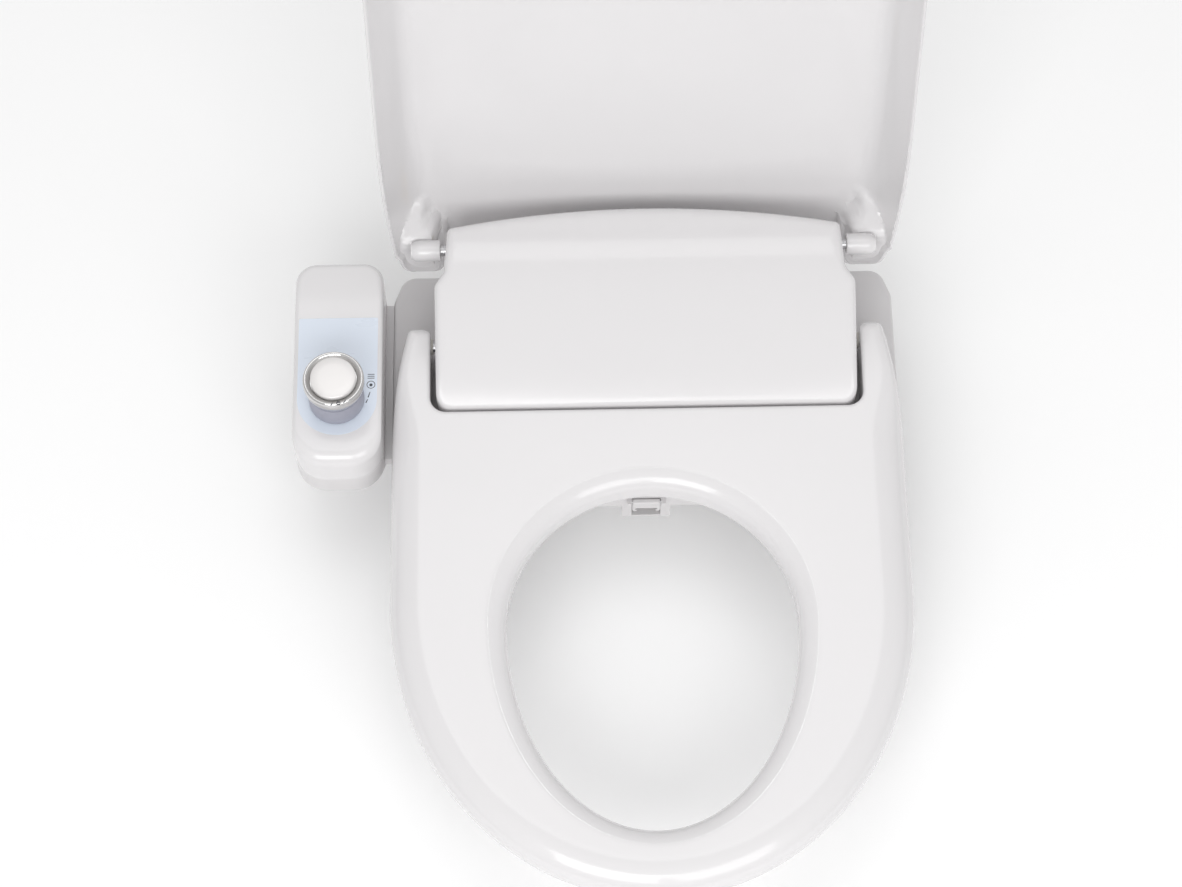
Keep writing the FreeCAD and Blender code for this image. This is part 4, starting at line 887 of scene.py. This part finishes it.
@dataclass
class Lid:
    """The open lid: a deep tray whose hollow runs on into two ears beside the housing."""

    half: float = 194.5
    bend: float = 269.0
    length: float = 498.0
    taper: float = 100.0
    rear_half: float = 184.0
    ear_inner: float = 150.4
    tail: float = 28.0
    roof_tail: float = 15.0
    depth: float = 36.0
    wall: float = 2.8
    hollow_round: float = 26.0
    rim_round: float = 1.4
    ear_round: float = 17.0
    ear_drop: float = 12.8
    ear_recess: float = 5.2
    ear_block: float = 4.0
    ear_slope: float = 32.0
    ear_lift: float = 9.0
    open_degrees: float = 104.3
    pivot_y: float = 23.6
    pivot_z: float = 76.2
    boss_inner: float = 152.4
    boss_radius: float = 8.0
    boss_reach: float = 22.0
    boss_bore: float = 6.1
    row_gaps: tuple[float, ...] = (-2.1, -1.4, -0.7, 0.02, 0.6, 1.6, 3.2, 5.4, 8.2, 11.6, 15.4,
                                   19.6, 24.0)

    def place(self, flat: Points) -> Points:
        """Swing points from the closed plane to the open lid.

        Args:
            flat: x, y and z of each point on the closed lid.

        Returns:
            The same points on the open lid.
        """
        turn = math.radians(-self.open_degrees)
        along = flat[:, 1] * math.cos(turn) - flat[:, 2] * math.sin(turn) + self.pivot_y
        up = flat[:, 1] * math.sin(turn) + flat[:, 2] * math.cos(turn) + self.pivot_z
        return np.column_stack([flat[:, 0], along, up])

    def outline(self) -> tuple[Points, Points, Points]:
        """Trace the lid.

        Returns:
            The whole outline, its walled side, and its open rear edge.
        """
        side = taper_arc(self.half, -self.taper, self.rear_half, self.tail)
        front = ellipse_arc(-self.bend, self.half, self.length - self.bend, -180, 0)
        outer, drop = self.ear_round, self.ear_drop
        inner = self.rear_half - outer - self.ear_inner
        quarter = np.linspace(0, math.pi / 2, 14)
        lobe = [(self.rear_half - outer + outer * math.cos(turn),
                 self.tail - outer + outer * math.sin(turn), 0.0) for turn in quarter]
        lobe += [(self.ear_inner + inner - inner * math.sin(turn),
                  self.tail - drop + drop * math.cos(turn), 0.0) for turn in quarter[1:]]
        right = [corner for corner in side if corner[1] < self.tail - outer] + lobe
        left = mirrored(right)
        loop = even_spacing(rounded_path(front + right + left), 1.9)
        rear = (np.abs(loop[:, 0]) < self.ear_inner + 0.6) & (loop[:, 1] > self.roof_tail - 1.0)
        rear &= loop[:, 1] < self.tail - 10.0
        return loop, SeatRing.ordered(loop, ~rear), SeatRing.ordered(loop, rear)

    def build(self) -> None:
        """Build the shell and its bosses."""
        loop, walled, rear = self.outline()

        def top(flat: Points) -> np.ndarray:
            """Height of the lid's outer face."""
            ear = ease(flat[:, 1], -95.0, -30.0)
            height = self.depth - roll(distance_to(flat, walled), 21.0 - 13.0 * ear,
                                       18.0 - 10.0 * ear)
            return height - roll(distance_to(flat, rear), 1.6, 1.2)

        def bottom(flat: Points) -> np.ndarray:
            """Height of the rim, the rounded hollow and the shallow ears."""
            gap = distance_to(flat, walled) - self.wall
            floor = self.depth - self.wall
            share = np.clip(gap / self.hollow_round, 0, 1)
            rise = self.rim_round + (floor - self.rim_round) * (1 - (1 - share) ** 1.9)
            beside = ease(self.ear_inner - np.abs(flat[:, 0]), 0.0, 3.0)
            rise += (floor - rise) * beside * ease(flat[:, 1], -60.0, -30.0)
            edge = self.ear_inner + 9.0 * ease(-flat[:, 1], self.ear_block, 14.0)
            inward = ease(edge - np.abs(flat[:, 0]), -9.0, -0.5)
            onward = ease(-flat[:, 1], -self.ear_block, self.ear_slope)
            beyond = 1 - (1 - inward) * (1 - onward)
            rise = np.minimum(rise, self.ear_recess + (floor - self.ear_recess) * beyond)
            lip = np.clip(-gap / self.wall, 0, 1)
            rim = np.where(gap > 0.02, rise, self.rim_round * (2 * lip - 1) ** 2 * (lip > 0))
            past = np.clip((flat[:, 1] - self.tail + self.ear_lift) / self.ear_lift, 0, 1)
            lift = self.ear_lift * (1 - np.sqrt(1 - past ** 2))
            return np.minimum(rim + lift * (np.abs(flat[:, 0]) > self.ear_inner - 1.0),
                              np.maximum(floor - 4.0, rim))

        rows = [offset_inwards(loop, self.wall + gap)
                for gap in self.row_gaps]
        skin = MouldedSkin(loop, insets=(0.2, 0.6), extra=rows)
        shell = skin.build("lid_skin", top, bottom, place=self.place)
        dress(shell, WHITE)
        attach(shell, "lid")
        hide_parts("lid_shell")
        LOG.info("lid: %d faces", len(shell.data.polygons))
        self.build_bosses()

    def build_bosses(self) -> None:
        """Build the tubular bosses that turn on the hinge pins."""
        bore = self.boss_bore
        end = self.boss_reach
        radius = self.boss_radius
        profile = [(bore, 0.0), (radius - 0.8, 0.0), (radius - 0.2, 0.3), (radius, 1.0),
                   (radius, end - 8.0), (radius - 0.3, end - 3.0), (radius - 2.0, end - 0.6),
                   (bore, end), (bore, end - 1.0)]
        for side, label in ((1, "right"), (-1, "left")):
            shaped = [(r, side * h) for r, h in profile]
            centre = Vector((side * self.boss_inner, self.pivot_y, self.pivot_z))
            boss = lathe(f"lid_boss_{label}", shaped, centre, axis="x", segments=72)
            dress(boss, WHITE)
            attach(boss, "lid")


# ------------------------------------------------------------------ control panel

@dataclass
class ControlPanel:
    """The side panel: moulded top, pale film and its small printed marks."""

    inner: float = 196.5
    outer: float = 262.5
    front: float = 141.0
    rear: float = 26.0
    top: float = 58.0
    parting: float = 26.0
    front_corner: float = 24.0
    rear_corner: float = 16.0
    dial_y: float = 91.0
    film_margin: float = 3.4
    film_rear: float = 22.7
    film_rise: float = 0.22
    film_thick: float = 0.5
    mark_spot: Spot = (-204.5, -78.9)

    def outline(self) -> Points:
        """Trace the panel in plan."""
        corners = [(-self.outer, -self.front, self.front_corner),
                   (-self.inner, -self.front, self.front_corner),
                   (-self.inner, self.rear, self.rear_corner),
                   (-self.outer, self.rear, self.rear_corner)]
        return even_spacing(rounded_path(corners), 1.3)

    def height(self, flat: Points) -> np.ndarray:
        """Height of the panel's top, which dips towards its nose and a little to the rear."""
        nose = np.clip((22.0 - self.front - flat[:, 1]) / 22.0, 0, 1)
        tail = np.clip((flat[:, 1] + 14.0) / 40.0, 0, 1)
        return self.top - 2.2 * nose ** 2 - 1.6 * tail ** 2

    def build(self) -> None:
        """Build the top moulding, the film and the marks."""
        loop = self.outline()
        closed = closed_chain(loop)

        def top(flat: Points) -> np.ndarray:
            """Height of the panel's top with its rolled edge."""
            front = 1 - ease(flat[:, 1], -132.0, -112.0)
            rear = ease(flat[:, 1], -10.0, 14.0)
            soft = 2.8 + 6.5 * front + 2.2 * rear
            return self.height(flat) - roll(distance_to(flat, closed), soft, soft)

        skin = MouldedSkin(loop, insets=(0.15, 0.45, 1.0, 1.9, 3.0, 4.6), spacing=2.2)
        shell = skin.build("panel_top_skin", top, level_at(self.parting))
        dress(shell, WHITE)
        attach(shell, "base")
        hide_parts("panel_top_shell")
        self.build_film()
        self.build_marks()

    def build_film(self) -> None:
        """Build the pale film, square behind and round in front."""
        left, right = -self.outer + self.film_margin, -self.inner - self.film_margin
        middle, half = (left + right) / 2, (right - left) / 2
        front = -self.dial_y + 1.0
        arc = [(middle - half * math.cos(turn), front - half * math.sin(turn), 0.0)
               for turn in np.linspace(0, math.pi, 48)]
        loop = even_spacing(rounded_path(arc + [(right, -self.film_rear, 0.8),
                                                (left, -self.film_rear, 0.8)]), 1.4)
        skin = MouldedSkin(loop, insets=(0.2, 0.6), spacing=3.0)
        level = self.top + self.film_rise
        film = skin.build("panel_film", level_at(level), level_at(level - self.film_thick))
        dress(film, LABEL)
        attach(film, "base")
        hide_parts("panel_label")

    def build_marks(self) -> None:
        """Print the small generic marks beside the dial: lines, a ringed dot and drops."""
        level = self.top + self.film_rise
        across, along = self.mark_spot
        marks: list[tuple[Points, list[Points]]] = []
        for step in range(3):
            middle = along + 5.4 + 1.6 * step
            marks.append((bar_loop(across - 2.6, across + 2.6, middle, 0.55), []))
        marks.append((circle_loop(across, along, 3.2), [circle_loop(across, along, 2.7)]))
        marks.append((circle_loop(across, along - 0.2, 1.2), []))
        for down, lean, length in ((8.2, 1.5, 4.6), (13.4, 3.1, 3.0)):
            marks.append((slanted_loop(across - lean, along - down, 0.9, length), []))
        for index, (loop, holes) in enumerate(marks):
            skin = MouldedSkin(loop, holes, insets=(0.15,), spacing=1.2)
            mark = skin.build(f"panel_mark_{index}", level_at(level + 0.03), level_at(level - 0.1))
            dress(mark, INK)
            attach(mark, "base")


def circle_loop(x: float, y: float, radius: float) -> Points:
    """A circle as a loop of points."""
    turns = np.linspace(0, 2 * math.pi, 40, endpoint=False)
    return np.stack([x + radius * np.cos(turns), y + radius * np.sin(turns)], axis=1)


def bar_loop(low: float, high: float, middle: float, thick: float) -> Points:
    """A short bar with round ends."""
    half = thick / 2
    return rounded_path([(low, middle - half, half * 0.9), (high, middle - half, half * 0.9),
                         (high, middle + half, half * 0.9), (low, middle + half, half * 0.9)], 0.2)


def slanted_loop(x: float, y: float, thick: float, length: float) -> Points:
    """A short slanted stroke, like a falling drop of water.

    Args:
        x: place of its lower end.
        y: place of its middle.
        thick: width of the lower end.
        length: its length.

    Returns:
        The outline.
    """
    lean, soft = 1.2, 0.3
    low, high = y - length / 2, y + length / 2
    return rounded_path([(x - thick, low, soft), (x, low, soft), (x + lean, high, soft),
                         (x + lean - thick * 0.6, high, soft)], 0.2)


# ------------------------------------------------------------------ dial

@dataclass
class Dial:
    """The tall dial: grey barrel with a groove, bright ring, satin cap and ring marks."""

    x: float = -229.5
    y: float = -91.0
    low: float = 59.0
    top: float = 96.0
    ring_radius: float = 22.5
    barrel_radius: float = 20.5
    cap_radius: float = 16.8

    def build(self) -> None:
        """Build the dial's pieces about one axis."""
        centre = Vector((self.x, self.y, 0.0))
        barrel_top = self.top - 12.2
        seam = self.top - 17.0
        barrel, ring, cap = self.barrel_radius, self.ring_radius, self.cap_radius
        body = lathe("dial_barrel", [
            (4.0, self.low), (barrel - 0.6, self.low), (barrel, self.low + 0.6),
            (barrel - 0.1, seam - 1.2), (barrel - 0.5, seam - 0.7), (barrel - 1.3, seam - 0.6),
            (barrel - 1.3, seam + 0.5), (barrel - 0.3, seam + 0.6), (barrel, seam + 1.1),
            (barrel - 0.1, barrel_top), (4.0, barrel_top)], centre, segments=128, sharp=40)
        trim = lathe("dial_bright_ring", [
            (cap - 1.5, self.top - 12.1), (ring - 2.0, self.top - 12.1),
            (ring - 0.9, self.top - 11.6), (ring - 0.25, self.top - 10.4),
            (ring, self.top - 8.8), (ring, self.top - 4.4), (ring - 0.2, self.top - 3.2),
            (ring - 0.8, self.top - 2.3), (ring - 1.5, self.top - 2.0),
            (ring - 2.2, self.top - 2.2), (ring - 3.1, self.top - 3.0),
            (cap + 1.4, self.top - 3.9), (cap + 0.5, self.top - 4.3), (cap + 0.4, self.top - 5.2),
            (cap - 1.5, self.top - 5.2)], centre, segments=128, sharp=60)
        disc = lathe("dial_satin_cap", [
            (0.0, self.top - 5.0), (cap - 0.4, self.top - 5.0), (cap, self.top - 4.6),
            (cap, self.top - 1.3), (cap - 0.3, self.top - 0.6), (cap - 1.1, self.top - 0.3),
            (cap * 0.6, self.top - 0.1), (0.0, self.top)], centre, segments=128, sharp=60)
        for item, finish, node in ((body, BARREL, "dial_body"), (trim, CHROME, "dial_ring"),
                                   (disc, CAP, "dial_cap")):
            dress(item, finish)
            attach(item, "dial")
            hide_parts(node)
        self.build_marks()

    def build_marks(self) -> None:
        """Print three small marks on the front slope of the ring."""
        radius = self.ring_radius - 1.6
        level = self.top - 2.0
        for index, degrees in enumerate((-92.0, -78.0, -66.0)):
            turn = math.radians(degrees)
            x, y = self.x + radius * math.cos(turn), self.y + radius * math.sin(turn)
            if index == 1:
                loop, holes = circle_loop(x, y, 1.5), [circle_loop(x, y, 1.0)]
            else:
                loop, holes = slanted_loop(x, y, 0.8, 2.4), []
            skin = MouldedSkin(loop, holes, insets=(0.12,), spacing=0.9)
            mark = skin.build(f"dial_mark_{index}", level_at(level + 0.12), level_at(level - 0.3))
            dress(mark, INK)
            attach(mark, "dial")


# ------------------------------------------------------------------ wand gate

@dataclass
class WandGate:
    """The small guard flap with a hooked prong at each lower corner."""

    middle: float = -1.5
    half: float = 10.5
    pivot_y: float = -157.6
    pivot_z: float = 12.6
    drop: float = 10.0
    prong: float = 5.3
    thick: float = 1.8

    def build(self) -> None:
        """Build the flap from one bent outline."""
        low = self.pivot_z - self.drop
        hook = low - self.prong
        edge = self.half
        right = [(edge, self.pivot_z + 1.6, 1.4), (edge, hook + 2.4, 0.8),
                 (edge - 1.4, hook, 1.2), (edge - 3.6, hook, 1.0), (edge - 3.8, hook + 1.4, 0.6),
                 (edge - 2.4, hook + 2.2, 0.8), (edge - 2.3, low, 1.4)]
        corners = right + mirrored(right)
        loop = even_spacing(rounded_path(corners, 0.4), 0.7)
        closed = closed_chain(loop)
        half_thick = self.thick / 2

        def front(flat: Points) -> np.ndarray:
            """Front face: a hinge barrel and softened edges."""
            barrel = 1.2 * np.exp(-((flat[:, 1] - self.pivot_z) / 1.8) ** 2)
            return half_thick + barrel - roll(distance_to(flat, closed), 0.8, 0.6)

        def back(flat: Points) -> np.ndarray:
            """Back face, with the other half of the barrel."""
            return -half_thick - 1.2 * np.exp(-((flat[:, 1] - self.pivot_z) / 1.8) ** 2)

        def place(points: Points) -> Points:
            """Stand the flap upright at its pin."""
            return np.column_stack([points[:, 0] + self.middle, self.pivot_y - points[:, 2],
                                    points[:, 1]])

        skin = MouldedSkin(loop, insets=(0.15, 0.4, 0.8), spacing=0.9)
        flap = skin.build("wand_gate_flap", front, back, place=place)
        dress(flap, GREY)
        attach(flap, "gate")
        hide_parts("wand_gate")


# ------------------------------------------------------------------ studio

@dataclass(frozen=True)
class Lamp:
    """One soft square light, in metres and watts."""

    name: str
    spot: tuple[float, float, float]
    size: float
    power: float


LAMPS = (Lamp("key_panel", (-0.6, -2.1, 1.75), 1.3, 19.5),
         Lamp("fill_panel", (0.8, -2.0, 1.7), 1.3, 12.5),
         Lamp("top_panel", (-0.1, 0.7, 2.6), 1.4, 7.5))
PALE = Finish("studio_floor", (0.97, 0.97, 0.97), 0.75, grain_depth=0.02, grain_scale=40.0,
              mottle=0.004)


@dataclass
class Studio:
    """Pale floor, soft lights and the camera."""

    target: tuple[float, float, float] = (-0.0357, -0.1327, 0.050)
    azimuth: float = -1.02
    elevation: float = 64.77
    roll_degrees: float = -0.07
    distance: float = 2.180
    lens: float = 90.1
    shift: tuple[float, float] = (-0.0075, 0.0064)
    floor_gap: float = 0.002
    floor_reach: float = 30000.0
    sky: float = 0.71
    horizon: tuple[float, float, float, float] = (0.50, 0.50, 0.51, 1.0)
    zenith: tuple[float, float, float, float] = (1.0, 1.0, 1.0, 1.0)

    def build(self) -> None:
        """Build floor, world, lights and camera."""
        self.build_floor()
        self.build_lights()
        self.build_camera()

    def build_floor(self) -> None:
        """Lay a wide pale floor under the lowest point."""
        level = float(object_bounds()[0][2]) - self.floor_gap
        reach = self.floor_reach
        height = level / MM
        floor = piece_from("studio_floor", [(-reach, -reach, height), (reach, -reach, height),
                                            (reach, reach, height), (-reach, reach, height)],
                           [(0, 1, 2, 3)])
        dress(floor, PALE)
        floor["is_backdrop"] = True

    def build_lights(self) -> None:
        """Hang three large soft lights in a bright even room."""
        bpy.context.scene.view_settings.view_transform = "Standard"
        world = bpy.data.worlds.new("studio_air")
        bpy.context.scene.world = world
        world.use_nodes = True
        nodes, links = world.node_tree.nodes, world.node_tree.links
        coordinates = nodes.new("ShaderNodeTexCoord")
        split = nodes.new("ShaderNodeSeparateXYZ")
        ramp = nodes.new("ShaderNodeValToRGB")
        ramp.color_ramp.elements[0].position = 0.04
        ramp.color_ramp.elements[0].color = self.horizon
        ramp.color_ramp.elements[1].position = 0.34
        ramp.color_ramp.elements[1].color = self.zenith
        background = nodes["Background"]
        background.inputs["Strength"].default_value = self.sky
        links.new(coordinates.outputs["Generated"], split.inputs["Vector"])
        links.new(split.outputs["Z"], ramp.inputs["Fac"])
        links.new(ramp.outputs["Color"], background.inputs["Color"])
        for spec in LAMPS:
            lamp = bpy.data.lights.new(spec.name, "AREA")
            lamp.shape = "SQUARE"
            lamp.size = spec.size
            lamp.energy = spec.power
            item = bpy.data.objects.new(spec.name, lamp)
            item.location = spec.spot
            aim = Vector(self.target) - Vector(spec.spot)
            item.rotation_euler = aim.to_track_quat("-Z", "Y").to_euler()
            bpy.context.scene.collection.objects.link(item)

    def build_camera(self) -> None:
        """Stand the camera above and in front, tilted down at the seat."""
        turn, tilt, lean = (math.radians(v) for v in (self.azimuth, self.elevation,
                                                      self.roll_degrees))
        back = Vector((math.sin(turn) * math.cos(tilt), -math.cos(turn) * math.cos(tilt),
                       math.sin(tilt)))
        right = Vector((math.cos(turn), math.sin(turn), 0.0))
        up = back.cross(right)
        leaning_right = right * math.cos(lean) + up * math.sin(lean)
        leaning_up = up * math.cos(lean) - right * math.sin(lean)
        basis = Matrix((leaning_right, leaning_up, back)).transposed().to_4x4()
        camera = bpy.data.cameras.new("studio_camera")
        camera.lens = self.lens
        camera.sensor_width = 36.0
        camera.shift_x, camera.shift_y = self.shift
        camera.clip_end = 50.0
        item = bpy.data.objects.new("studio_camera", camera)
        item.matrix_world = Matrix.Translation(Vector(self.target) + back * self.distance) @ basis
        bpy.context.scene.collection.objects.link(item)
        bpy.context.scene.camera = item


def main() -> None:
    """Dress the nodes, build every sub-assembly in order, then the studio."""
    logging.basicConfig(level=logging.INFO, format="%(name)s: %(message)s")
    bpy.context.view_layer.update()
    dress_nodes()
    for assembly in (SeatRing(), HousingCover(), Lid(), ControlPanel(), Dial(), WandGate()):
        LOG.info("building %s", type(assembly).__name__)
        assembly.build()
    Studio().build()


if __name__ == "__main__":
    main()
